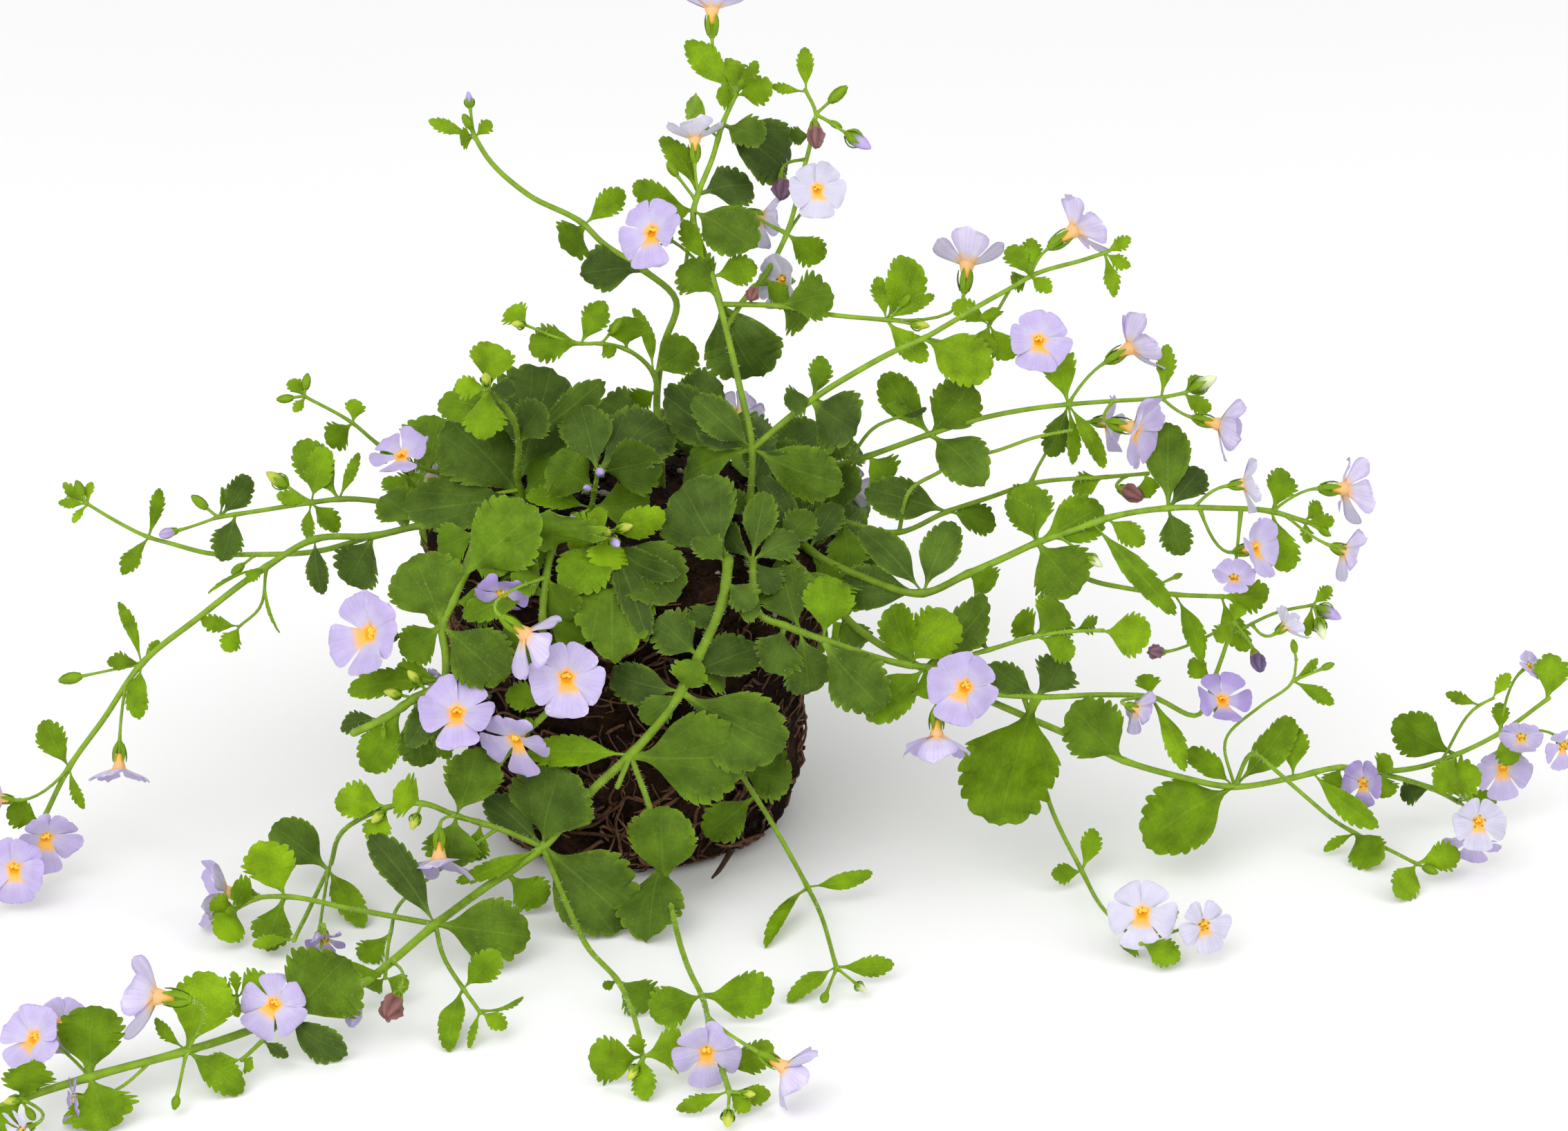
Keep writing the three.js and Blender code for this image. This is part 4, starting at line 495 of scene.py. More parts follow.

# Leaf ages by place on the chart, which also paint shade and light: a low age is a dark leaf in painted
# shade, a high one a bright leaf in painted light. Each part is the age, then patches as across from and
# to, up from and to
AGE_AND_SHADE_TEXT = """
age 0.08, 17 35 160 178, 20 33 179 191, 30 48 185 203, 13 36 125 147, -18 4 149 162, 43 63 106 122,
74 88 115 118, 115 122 102 120, 149 164 89 114, 152 161 74 88, 34 63 95 106, 62 82 61 81, 85 96 63 84,
42 56 33 49, 92 104 45 63, 100 125 29 45, 220 234 3 9, 25 46 18 49, 4 33 -1 28, -9 10 35 47, 0 13 25 35,
-39 -12 -9 14, -78 -60 -33 -6, -107 -84 -75 -63, -108 -95 -16 -4, -118 -111 73 97, -97 -91 63 75,
-41 -10 105 129, -4 12 91 117, 9 32 68 97, -6 14 57 81, -84 -66 65 81, -70 -59 13 29, -84 -74 11 27,
26 38 107 123, 13 34 107 126, 34 50 75 97, 46 61 77 90, 44 66 95 123, 64 90 81 97, 36 49 53 72,
62 85 61 83, 26 36 54 66, 15 24 53 61
age 0.95, -51 -35 118 134, -17 -3 74 88, -129 -111 -61 -43, -112 -98 -22 -8, -6 10 -79 -63,
-83 -55 -11 17, 217 235 -28 -10, 230 246 1 17, 85 103 120 138, 134 150 43 59, 79 95 45 61
age 0.62, 94 114 1 21
age 0.75, 144 164 -13 7
"""


def rows_of(text):
    """The rows of a text with commas between them, each of numbers and words."""
    return [tuple(word if word[0].isalpha() else float(word) for word in row.split())
            for row in text.split(",")]


def parts_of(text):
    """The parts of a table, each from a line that starts with a word: the word and its rows."""
    for part in re.split(r"\n(?=[a-z])", text.strip()):
        word, rows = part.split(maxsplit=1)
        yield word, rows_of(rows)


def stems_of(text):
    """The shoots of each stem by its name. A leaf without a turn is given a turn of nought."""
    stems = {}
    for word, rows in parts_of(text):
        if word == "stem":
            shoots = stems[rows[0][0]] = []
        elif word == "shoot":
            shoots.append({"radius": rows[0][:2], "foot": rows[0][2:]})
        elif word == "leaves":
            shoots[-1][word] = [(*row, 0.0)[:6] for row in rows]
        else:
            shoots[-1][word] = rows
    return stems


STEMS = stems_of(STEM_TEXT)
AGE_AND_SHADE_PATCHES = [(rows[0][0], rows[1:]) for _, rows in parts_of(AGE_AND_SHADE_TEXT)]


def linear(code):
    """A colour in the shader's own light values, from its six-digit screen code."""
    screen = np.array([int(code[i:i + 2], 16) for i in (0, 2, 4)]) / 255
    return tuple(np.where(screen < 0.04045, screen / 12.92, ((screen + 0.055) / 1.055) ** 2.4))


def colour_property(name, description, code):
    """A colour that a user can change."""
    return FloatVectorProperty(name=name, description=description, default=linear(code),
                               subtype="COLOR", size=3, min=0, max=1)


def length_property(name, description, default, least, most):
    """A length that a user can change."""
    return FloatProperty(name=name, description=description, default=default, min=least,
                         max=most, unit="LENGTH", precision=5)


class PlantSizes(PropertyGroup):
    """Sizes of what the pieces add to the solids, in metres."""

    blade_thickness: length_property(
        "Blade thickness", "Thickness of a leaf blade beside its midrib", 0.00042, 0.0002, 0.001)
    tooth_depth: FloatProperty(
        name="Tooth depth", description="Depth of a leaf's teeth as a share of its half width",
        default=0.2, min=0, max=0.4)
    hair_length: length_property(
        "Hair length", "Mean length of the hairs on stems and leaf rims", 0.0011, 0.0002, 0.002)
    hair_gap: length_property(
        "Hair gap", "Mean distance along a stem between hairs", 0.00045, 0.0002, 0.01)
    petal_thickness: length_property(
        "Petal thickness", "Thickness of a petal in its middle", 0.00025, 0.0001, 0.001)
    root_radius: length_property(
        "Root radius", "Mean radius of the roots that hold the ball", 0.00038, 0.0001, 0.001)
    crumbs: IntProperty(
        name="Crumbs", description="Number of loose crumbs of peat on the ball",
        default=900, min=0, max=3000)


class PlantColours(PropertyGroup):
    """Colours of the finished plant."""

    young: colour_property("Young leaf", "Leaves at the tips of the stems", "7b9d10")
    grown: colour_property("Grown leaf", "Leaves along the stems", "64850c")
    # Painted shade: the aged leaf colour also stands for leaves in shade inside the plant
    old: colour_property("Old leaf", "Leaves in the shade of the plant", "435820")
    underside: colour_property("Leaf underside", "The back of the leaves", "93a948")
    stem: colour_property("Stem", "Stems and flower stalks", "7f9f2c")
    violet: colour_property("Violet", "Deeper petals of a few blooms", "8469b4")
    lilac: colour_property("Lilac petal", "Most of the blooms", "b8a9d6")
    white: colour_property("White petal", "The palest blooms", "c9c6d8")
    throat: colour_property("Throat", "Inside the tube of a bloom", "f7b500")
    tube: colour_property("Bloom tube", "Outside of the tube of a bloom", "f3bb45")
    withered: colour_property("Withered bloom", "Blooms that have faded", "6f5a86")
    peat: colour_property("Peat", "The soil of the root ball", "1d120b")
    root: colour_property("Roots", "The fine roots round the ball", "7a563e")
    perlite: colour_property("Perlite", "White grains in the soil", "9c948a")


class StageSettings(PropertyGroup):
    """The floor and the light."""

    floor_size: length_property("Floor size", "Side of the square floor", 6.0, 1, 20)
    floor: colour_property("Floor", "The pale floor", "fbfbfb")
    key_power: FloatProperty(
        name="Key light", description="Power of the large lamp in front, up on the left",
        default=19, min=0, max=500, unit="POWER")
    world_strength: FloatProperty(
        name="Surrounding light", description="Strength of the white light from all round",
        default=0.86, min=0, max=5)


# Points and faces

def ring_faces(rings, sides):
    """Faces of a closed body of rings: a four-sided face between neighbours, a cap at each end."""
    i, j = np.meshgrid(np.arange(rings - 1), np.arange(sides), indexing="ij")
    a = i * sides + j
    b = i * sides + (j + 1) % sides
    walls = np.stack([a, b, b + sides, a + sides], -1).reshape(-1, 4)
    start = np.arange(sides)[::-1][None]
    end = (rings - 1) * sides + np.arange(sides)[None]
    return [walls, start, end]


class Heap:
    """What is gathered for one piece: points, faces, paint, tones and pattern places.

    The paint of a point is its colour. Its tone is how young it is, a chance number, one on the
    underside, and how far it is drawn to the colour of hairs.
    """

    def __init__(self, context, *labels):
        """The random numbers are the same on each run for the same labels."""
        self.sizes, self.colours = context.scene.bacopa_sizes, context.scene.bacopa_colours
        self.rng = np.random.default_rng([SEED] + [
            sum(ord(letter) * (i + 1) for i, letter in enumerate(label)) for label in labels])
        self.faces, self.values, self.count = [], [], 0

    def add(self, points, faces, paint, tone=PLAIN, places=(0, 0)):
        """Adds bodies of the same build: points (bodies, ..., 3), and the faces of one body."""
        each = points[0].size // 3
        shift = self.count + each * np.arange(len(points))[:, None, None]
        self.faces += [(part[None] + shift).reshape(-1, part.shape[1]) for part in faces]
        self.values.append([
            np.broadcast_to(value, (*points.shape[:-1], width)).reshape(-1, width)
            for value, width in ((points, 3), (paint, 3), (tone, 4), (places, 2))])
        self.count += each * len(points)

    def add_rings(self, rings, *values):
        """Adds closed bodies of rings (bodies, rings, sides, 3)."""
        self.add(rings, ring_faces(*rings.shape[1:3]), *values)

    def make(self, name, finish, slot, solid):
        """Makes the piece: it rides on the plant and stands for its node."""
        points, paint, tone, places = (np.concatenate(part) for part in zip(*self.values))
        loops = np.concatenate([part.ravel() for part in self.faces])
        sizes = np.concatenate([np.full(len(part), part.shape[1]) for part in self.faces])
        mesh = bpy.data.meshes.new(name)
        mesh.vertices.add(len(points))
        mesh.vertices.foreach_set("co", (points * MM).ravel())
        mesh.loops.add(len(loops))
        mesh.loops.foreach_set("vertex_index", loops.astype(np.int32))
        mesh.polygons.add(len(sizes))
        starts = np.concatenate([[0], np.cumsum(sizes)[:-1]])
        mesh.polygons.foreach_set("loop_start", starts.astype(np.int32))
        mesh.polygons.foreach_set("use_smooth", np.ones(len(sizes), bool))
        mesh.update(calc_edges=True)
        mesh.uv_layers.new(name="places").data.foreach_set("uv", places[loops].ravel())
        solid_paint = np.column_stack([paint, np.ones(len(paint))])
        for label, values in (("paint", solid_paint), ("tone", tone)):
            made = mesh.attributes.new(label, "FLOAT_COLOR", "POINT")
            made.data.foreach_set("color", values.ravel())
        mesh.set_sharp_from_angle(angle=SHARP_FROM)
        mesh.materials.append(material_named(finish))
        piece = bpy.data.objects.new(name, mesh)
        bpy.context.scene.collection.objects.link(piece)
        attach(piece, "root")
        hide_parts(solid)


def unit(vectors):
    """Vectors made one long."""
    return vectors / np.linalg.norm(vectors, axis=-1, keepdims=True)


def squared_to(vectors, along):
    """The part of vectors that stands square to along, one long."""
    return unit(vectors - (vectors * along).sum(-1, keepdims=True) * along)


def angles_round(count):
    """So many angles evenly round a circle."""
    return 2 * np.pi * np.arange(count) / count


def turned(angle, first, second):
    """The cosine of the angle times first plus its sine times second."""
    return np.cos(angle)[..., None] * first + np.sin(angle)[..., None] * second


def joined(*values):
    """Values side by side along a new last axis."""
    return np.stack(np.broadcast_arrays(*values), -1)


def way_along(points):
    """The way along a line from its first point to each."""
    return np.concatenate([[0], np.cumsum(np.linalg.norm(np.diff(points, axis=0), axis=1))])


def mixed(first, second, share):
    """Between two colours, by a share for each point."""
    share = np.asarray(share)[..., None]
    return np.asarray(first) * (1 - share) + np.asarray(second) * share


def bowed(start, handle, end, t):
    """The curve with three handles: (1 - t)2 start + 2t(1 - t) handle + t2 end."""
    return (1 - t) ** 2 * start + 2 * t * (1 - t) * handle + t ** 2 * end


def on_line(line, at):
    """Points of a line at fractional point numbers, and the number of the point before each."""
    low = np.minimum(at.astype(int), len(line) - 2)
    return line[low] + (at - low)[:, None] * (line[low + 1] - line[low]), low


def tube_rings(centres, radii, sides, upright=None):
    """Rings of a round tube: centre plus radius times the cosine and sine of the angle round it.

    centres is (tubes, rings, 3). The rings are turned by an upright direction; without one it is
    the direction that the tubes run along least.
    """
    along = unit(np.gradient(centres, axis=1))
    if upright is None:
        spread = np.einsum("bni,bnj->bij", along, along)
        upright = np.linalg.eigh(spread)[1][:, :, 0][:, None, :]
    normal = squared_to(np.broadcast_to(upright, along.shape), along)
    side = np.cross(along, normal)
    ways = turned(angles_round(sides), normal[:, :, None], side[:, :, None])
    return centres[:, :, None] + np.asarray(radii)[..., None, None] * ways


def add_tube(heap, centres, radii, sides, *values):
    """Adds one closed tube along centres (rings, 3)."""
    heap.add_rings(tube_rings(centres[None], np.asarray(radii)[None], sides), *values)


def add_hairs(heap, feet, ways, lengths, hair):
    """Adds hairs: three-sided spikes from feet (hairs, 3), each lengths long, along ways."""
    radius, code, drawn = hair
    normal = squared_to(np.roll(ways, 1, axis=1) + 0.01, ways)
    round_foot = turned(angles_round(3), normal[:, None], np.cross(ways, normal)[:, None])
    tips = (feet + ways * lengths[:, None])[:, None]
    points = np.concatenate([feet[:, None] + radius * round_foot, tips], axis=1)
    faces = [np.array([[0, 1, 3], [1, 2, 3], [2, 0, 3], [2, 1, 0]])]
    heap.add(points, faces, linear(code), (0, 0, 0, drawn))


def folded(top, low):
    """Rings of a thin sheet: across its top and back under it, with one shared point a rim."""
    return np.concatenate([top, low[:, -2:0:-1]], axis=1)


def underside_of(rows, columns):
    """One where the ring of a sheet runs under it, and nought on its top."""
    return np.tile(np.repeat([0.0, 1.0], [columns, columns - 2]), (rows, 1))


def value_noise(points, size, seed):
    """Smooth noise from -1 to 1: random values at the corners of cubes of the given size,
    blended inside each cube by the curve 3t2 - 2t3 along each side."""
    cells = 32
    lattice = np.random.default_rng(seed).uniform(-1, 1, (cells, cells, cells))
    place = np.asarray(points) / size
    low = np.floor(place).astype(int)
    t = place - low
    t = t * t * (3 - 2 * t)
    total = 0
    for corner in np.ndindex(2, 2, 2):
        share = np.prod(np.where(corner, t, 1 - t), axis=-1)
        spot = (low + corner) % cells
        total = total + share * lattice[spot[..., 0], spot[..., 1], spot[..., 2]]
    return total


# The chart

def sight_line(across, up):
    """The ray from the eye through a place of the chart, one card distance long."""
    return EYE_DISTANCE * SIGHT + (across - EYE_ACROSS) * RIGHT + (up - EYE_UP) * CARD_UP


def point_on_ray(ray, share, lowest):
    """The point of a ray at a share of its length, or where it is no lower than lowest."""
    point = EYE_POINT + ray * share
    if point[2] >= lowest:
        return point
    return EYE_POINT + ray * (lowest - EYE_POINT[2]) / ray[2]


def place_back(across, up, back, lowest=LOWEST_STEM):
    """The point of a sight line that lies so far back."""
    ray = sight_line(across, up)
    return point_on_ray(ray, (back - EYE_POINT[1]) / ray[1], lowest)


def place_beside(near, across, up, farther, lowest):
    """The point of a sight line that is so much farther from the eye than a given point."""
    reach = (near - EYE_POINT) @ SIGHT + farther
    return point_on_ray(sight_line(across, up), reach / EYE_DISTANCE, lowest)


def real_size(size, point):
    """A size on the chart as a real size at a point's distance from the eye."""
    return size * ((point - EYE_POINT) @ SIGHT) / EYE_DISTANCE


def on_chart(point):
    """Where a point shows on the chart, across and up."""
    ray = point - EYE_POINT
    scale = EYE_DISTANCE / (ray @ SIGHT)
    return EYE_ACROSS + ray @ RIGHT * scale, EYE_UP + ray @ CARD_UP * scale


def soil_height(radius):
    """Height of the soil: the rim plus a mound that falls with the square of the radius."""
    return BALL_HEIGHT + MOUND * (1 - radius ** 2 / RIM_RADIUS ** 2)


def curve_through(points, at):
    """A smooth curve through points, at fractional point numbers.

    Each piece is the cubic whose ends have the direction of the chord between their neighbours.
    """
    length = way_along(points)
    slope = np.gradient(points, length, axis=0, edge_order=1)
    i = np.clip(np.floor(at).astype(int), 0, len(points) - 2)
    t = (np.asarray(at) - i)[..., None]
    gap = (length[i + 1] - length[i])[..., None]
    return ((1 + 2 * t) * (1 - t) ** 2 * points[i] + t * (1 - t) ** 2 * gap * slope[i]
            + t ** 2 * (3 - 2 * t) * points[i + 1] + t ** 2 * (t - 1) * gap * slope[i + 1])


class Shoot:
    """One shoot of a stem, laid out in space. Its rows count its points from the first one above
    the soil."""

    def __init__(self, row):
        points = [place_back(*place) for place in row["route"]]
        self.before = 0
        if row["foot"]:
            x, y = row["foot"]
            top = soil_height(math.hypot(x, y)) + COLLAR
            points = [np.array([x, y, STEM_FOOT]), np.array([x, y, top])] + points
            self.before = 2
        self.points = np.array(points)
        self.last = len(points) - 1
        self.radius = [radius * ROUND_SHARE for radius in row["radius"]]
        self.leaves, self.blooms, self.buds = (
            row.get(word, []) for word in ("leaves", "blooms", "buds"))

    def at(self, place):
        """The middle of the shoot at a row's place."""
        return curve_through(self.points, np.array([place + self.before], float))[0]

    def radius_at(self, place):
        """The thickness falls evenly from point to point."""
        return self.radius[0] + (self.radius[1] - self.radius[0]) * place / self.last


def shoots_of(name):
    """The shoots of a stem."""
    return [Shoot(row) for row in STEMS[name]]


# Leaves

def leaf_axes(foot, tip, turn):
    """Along the leaf, out of its face and to its side. The face looks at the eye, then turns."""
    along = tip - foot
    length = np.linalg.norm(along)
    along = along / length
    face = squared_to(-SIGHT, along)
    face = turned(np.radians(turn), face, np.cross(along, face))
    return along, face, np.cross(along, face), length


def swayed(row, tip):
    """Width and turn of a leaf that sways about its midrib by its place on the chart, so much
    wider that it shows as wide as before."""
    _, across, up, _, width, turn = row
    sway = MOST_SWAY * math.sin(SWAY_PER_ACROSS * across + SWAY_PER_UP * up)
    return real_size(width, tip) / math.cos(math.radians(sway)), turn + sway


def leaf_rows(teeth, before):
    """The shares along a blade of its rows of points, and how far each is up a tooth."""
    start = np.linspace(0, TEETH_FROM, before, endpoint=False)
    step = (TEETH_TO - TEETH_FROM) / teeth
    toothed = TEETH_FROM + step * (np.arange(teeth)[:, None] + np.array(TOOTH_PHASES))
    shares = np.concatenate([start, toothed.ravel(), [0.975, 1.0]])
    return shares, np.concatenate([np.full(before, 0.3), np.tile(TOOTH_RISE, teeth), [0.2, 0.6]])


def blade_halves(heap, share, rise, teeth, before, length, width, age):
    """Half widths of a blade on both sides: its outline between a broad and a wedge one, times
    its teeth, which are deeper on small and young leaves and uneven."""
    rng = heap.rng
    small = np.clip((20 - length) / 12, 0, 1)
    depth = heap.sizes.tooth_depth * (0.55 + 0.9 * small + 0.3 * age) * rng.uniform(0.8, 1.2)
    wedge = np.clip(0.25 + 0.6 * small + rng.normal(0, 0.3), 0, 1)
    half = np.interp(share, BLADE_SHARES, mixed(BLADE_HALVES, WEDGE_HALVES, wedge))
    toothed = np.clip((share - 0.3) / 0.15, 0, 1)
    uneven = np.ones((len(share), 2))
    uneven[before:-2] = np.repeat(rng.uniform(0.4, 1.6, (teeth, 2)), len(TOOTH_RISE), axis=0)
    half = (half * width)[:, None] * (1 + (toothed * depth * (rise - 0.6))[:, None] * uneven)
    return np.maximum(half, (0.3 + 0.15 * (share > 0.9))[:, None]), toothed[:, None]


def add_leaf(heap, foot, tip, width, turn, age):
    """Adds one leaf and the hairs of its rim.

    A point of the blade is the foot, plus its share of the length, plus its way to the side times
    the half width there, plus a lift: the arch as half a sine wave, a fold that rises evenly from
    the midrib, a wave round the rim, and a droop with the cube of the share.
    """
    rng = heap.rng
    along, face, side, length = leaf_axes(foot, tip, turn)
    teeth, before, columns = next(build[1:] for build in LEAF_BUILDS if length >= build[0])
    share, rise = leaf_rows(teeth, before)
    half, toothed = blade_halves(heap, share, rise, teeth, before, length, width, age)
    x = np.linspace(-1, 1, columns)
    x = np.sign(x) * np.abs(x) ** 0.85
    half = np.where(x < 0, half[:, :1], half[:, 1:])
    row, off = share[:, None], np.abs(x)
    forward = row + 0.03 * (rise - 0.3)[:, None] * toothed * off ** 3
    phase, waves = rng.uniform(0, 2 * np.pi), rng.uniform(1.2, 2.2)
    wave = rng.uniform(0.03, 0.07) * width * x ** 2 * np.sin(
        2 * np.pi * waves * row + phase + 1.3 * np.sign(x))
    across = x * half
    fold = FOLD + np.clip(rng.normal(0, 0.09), -0.15, 0.2)
    droop = np.clip(rng.normal(0.04, 0.05), -0.04, 0.12)
    quilt = 0.016 * width * (1 - off) * np.sin(9 * row + phase)
    lift = (np.sin(np.pi * row) * ARCH * length + np.abs(across) * fold + wave
            - droop * length * row ** 3 + quilt)
    across = across + np.clip(rng.normal(0, 0.03), -0.05, 0.05) * length * row ** 2
    thick = heap.sizes.blade_thickness / MM / 2 * (1 - 0.8 * x ** 2)
    thick = thick + 0.35 * np.clip(1 - row / 0.2, 0, 1) * (1 - x ** 2)
    rib = 0.22 * np.clip(1 - row / 0.8, 0, 1) * (off < 0.05)

    def placed(height):
        """Points of the blade at these heights out of its face."""
        return foot + (joined(forward * length, across, height) @ np.stack([along, side, face]))

    top = placed(lift + np.where(off == 1, 0, thick))
    low = placed(lift - np.where(off == 1, 0, thick + rib))
    rings = folded(top, low)
    rings[..., 2] += np.maximum(LEAST_HEIGHT - rings[..., 2].min(), 0) * row
    places = joined(0.5 + across / length, forward)
    under = underside_of(len(share), columns)
    paint = leaf_paint(heap, age, row, off, toothed, under)
    tone = joined(age, rng.random(), under, 0)
    heap.add_rings(rings[None], paint, tone, folded(places, places))
    if length > HAIRLESS_TO:
        add_rim_hairs(heap, top[share > 0.1], along, side, face)


def add_rim_hairs(heap, top, along, side, face):
    """Hairs on both rims of a blade: they stand outwards and lean to the tip."""
    rng = heap.rng
    for line, sign in ((top[:, 0], -1), (top[:, -1], 1)):
        count = int(way_along(line)[-1] / RIM_HAIR_GAP)
        feet, _ = on_line(line, np.sort(rng.uniform(0, len(line) - 1, count)))
        ways = sign * side + rng.uniform(0.1, 0.9, (count, 1)) * along
        ways = unit(ways + rng.normal(0, 0.3, (count, 1)) * face)
        lengths = heap.sizes.hair_length / MM * rng.uniform(0.3, 0.75, count)
        add_hairs(heap, feet - 0.1 * ways, ways, lengths, RIM_HAIR)


def leaf_age(shoot, row, foot, tip):
    """From 0, aged and dark, to 1, young and bright: by its patch, where a low value paints shade and a
    high one paints light, or else by its place on the shoot.
    """
    across, up = on_chart((foot + tip) / 2)
    # Painted light and shade: a patch gives the leaf a dark or a bright colour by where it lies
    for age, patches in AGE_AND_SHADE_PATCHES:
        if any(low <= across <= high and bottom <= up <= top
               for low, high, bottom, top in patches):
            return age
    place = (row[0] + shoot.before) / shoot.last
    return float(np.clip(0.35 + 0.45 * place ** 2 + 0.02 * (10 - row[4]), 0.2, 0.95))


def leaf_colour(age, colours, rng):
    """Old to grown to young by age, a little lighter or darker at random. Inside a patch the aged colour
    also paints shade and the young one paints light.
    """
    age = 2 * np.clip(age + rng.normal(0, 0.08), 0, 1)
    if age < 1:
        colour = mixed(colours.old, colours.grown, age)
    else:
        colour = mixed(colours.grown, colours.young, age - 1)
    return colour * rng.uniform(0.9, 1.1)


def leaf_paint(heap, age, row, off, toothed, under):
    """Colours of a blade: its toothed rim lighter, drawn towards the young colour, its foot like the
    stem, its back paler.
    """
    colours = heap.colours
    colour = leaf_colour(age, colours, heap.rng)
    rim = np.concatenate([off, off[-2:0:-1]])
    paint = mixed(colour, colours.young, 0.35 * np.clip(rim - 0.8, 0, 1) / 0.2 * toothed)
    paint = mixed(paint, colours.stem, 0.7 * np.clip(1 - row / 0.22, 0, 1))
    return mixed(paint, mixed(colours.underside, colour, 0.35), 0.8 * under)


def leaf_span(shoot, row):
    """Foot and tip of a leaf: its foot is sunk in the shoot, or set back from its end."""
    at, across, up, farther = row[:4]
    axis = shoot.at(at)
    place = at + shoot.before
    if place == shoot.last:
        axis = axis + shoot.radius[1] * unit(shoot.points[-2] - shoot.points[-1])
    tip = place_beside(axis, across, up, farther, LEAF_CLEAR_HEIGHT)
    sunk = 0.4 * shoot.radius_at(place)
    return axis + sunk * unit(tip - axis), tip


def add_leaves(heap, shoot):
    """Adds the leaves of a shoot."""
    for row in shoot.leaves:
        foot, tip = leaf_span(shoot, row)
        add_leaf(heap, foot, tip, *swayed(row, tip), leaf_age(shoot, row, foot, tip))


# Stems, stalks and calyces

def shoot_places(shoot):
    """Places along a shoot about two millimetres apart, with its joints among them."""
    gaps = np.linalg.norm(np.diff(shoot.points, axis=0), axis=1)
    counts = np.clip(np.ceil(gaps / STEP_ALONG), 2, 8).astype(int)
    parts = [i + np.arange(count) / count for i, count in enumerate(counts)]
    return np.concatenate(parts + [[shoot.last]])


def add_shoot(heap, shoot):
    """Adds a shoot: a round tube through its points, swollen at each joint, round at its end.

    A shoot that ends thick was cut off, and its end is dry and brown.
    """
    colours = heap.colours
    places = shoot_places(shoot)
    centres = curve_through(shoot.points, places)
    joints = np.array(sorted({row[0] + shoot.before for row in shoot.leaves}) or [0])
    near = np.abs(places[:, None] - joints[None]).min(axis=1)
    radii = shoot.radius_at(places) * (1 + JOINT_SWELL * np.exp(-(near / JOINT_REACH) ** 2))
    end = centres[-1] + radii[-1] * END_CAP[:, None] * unit(centres[-1] - centres[-2])
    centres = np.concatenate([centres, end])
    radii = np.concatenate([radii, radii[-1] * np.sqrt(1 - END_CAP ** 2)])
    away = way_along(centres)
    # Darker and browner towards the foot: the older stem and painted shade under the leaves
    age = np.clip((0 if shoot.before else 0.6) + away / GREEN_AFTER, 0, 1)
    paint = mixed(np.array(colours.stem) * SHADED_BASE,
                  mixed(colours.stem, colours.young, 0.3), age)
    if shoot.radius[-1] > CUT_FROM:
        paint[-len(END_CAP) - 1:] = linear(CUT_COLOUR)
    sides = THICK_SIDES if shoot.radius[0] > THICK_FROM else THIN_SIDES
    pattern = joined(np.arange(sides) / sides, away[:, None] * 0.1)
    add_tube(heap, centres, radii, sides, paint[:, None], PLAIN, pattern)
    bare = -len(END_CAP)
    add_stem_hairs(heap, centres[:bare], radii[:bare], heap.sizes.hair_gap / MM)


def add_stem_hairs(heap, centres, radii, gap):
    """Hairs all round a stem, each at a random place and angle, square to it but for a lean."""
    rng = heap.rng
    along = unit(np.gradient(centres, axis=0))
    count = int(way_along(centres)[-1] / gap)
    middle, low = on_line(centres, rng.uniform(0, len(centres) - 1, count))
    ways = squared_to(rng.normal(size=(count, 3)), along[low])
    feet = middle + ways * (radii[low] * 0.9)[:, None]
    ways = unit(ways + rng.normal(0, 0.25, (count, 1)) * along[low])
    lengths = heap.sizes.hair_length / MM * rng.uniform(0.4, 1.1, count)
    add_hairs(heap, feet, ways, lengths, STEM_HAIR)


def add_stalk(heap, line):
    """Adds a thin stalk along a line, with its hairs."""
    radii = np.interp(np.linspace(0, 1, len(line)), STALK_SHARES, STALK_RADII)
    add_tube(heap, line, radii, STALK_SIDES, mixed(heap.colours.stem, heap.colours.young, 0.4))
    add_stem_hairs(heap, line, radii, STALK_HAIR_SPARSENESS * heap.sizes.hair_gap / MM)


class Bloom:
    """One bloom laid out in space, with its stalk."""

    def __init__(self, shoot, row):
        at, across, up, farther, right, tilt, size, spin, self.kind = row
        self.foot = shoot.at(at)
        self.centre = place_beside(self.foot, across, up, farther, BLOOM_CLEARANCE * size)
        right, tilt = math.radians(right), math.radians(tilt)
        level = -SIGHT * math.cos(right) + RIGHT * math.sin(right)
        self.look = unit(level * math.cos(tilt) + CARD_UP * math.sin(tilt))
        self.size = real_size(size, self.centre)
        self.shut = self.kind in SHUT_KINDS
        self.own = not self.shut and self.kind != "behind" and size > OWN_BLOOM_SIZE
        gap = CALYX_GAP / self.size if self.own else -CALYX_SUNK
        self.calyx_depth = TUBE + CALYX_LENGTH + gap
        self.calyx_end = self.centre - self.look * self.calyx_depth * self.size
        upper = CARD_UP - (CARD_UP @ self.look) * self.look
        if np.linalg.norm(upper) < STEEPEST_LOOK:
            upper = SIGHT - (SIGHT @ self.look) * self.look
        upper = unit(upper)
        self.upper = turned(np.radians(-spin), upper, np.cross(self.look, upper))
        self.right = np.cross(self.upper, self.look)

    def placed(self, angle, reach, behind):
        """Places by angle from the upper side, reach and depth behind the face, as shares."""
        angle, reach, behind = np.broadcast_arrays(angle, reach, behind)
        return self.centre + self.size * (
            (np.cos(angle) * reach)[..., None] * self.upper
            + (np.sin(angle) * reach)[..., None] * self.right - behind[..., None] * self.look)

    def stalk(self):
        """The stalk: the curve with three handles from the foot to the end of the calyx."""
        pull = self.calyx_end - self.look * 0.4 * np.linalg.norm(self.calyx_end - self.foot)
        t = np.linspace(0, 1, STALK_POINTS)[:, None]
        return bowed(self.foot, pull, self.calyx_end, t)


def blooms_of(shoot):
    """The blooms of a shoot."""
    return [Bloom(shoot, row) for row in shoot.blooms]


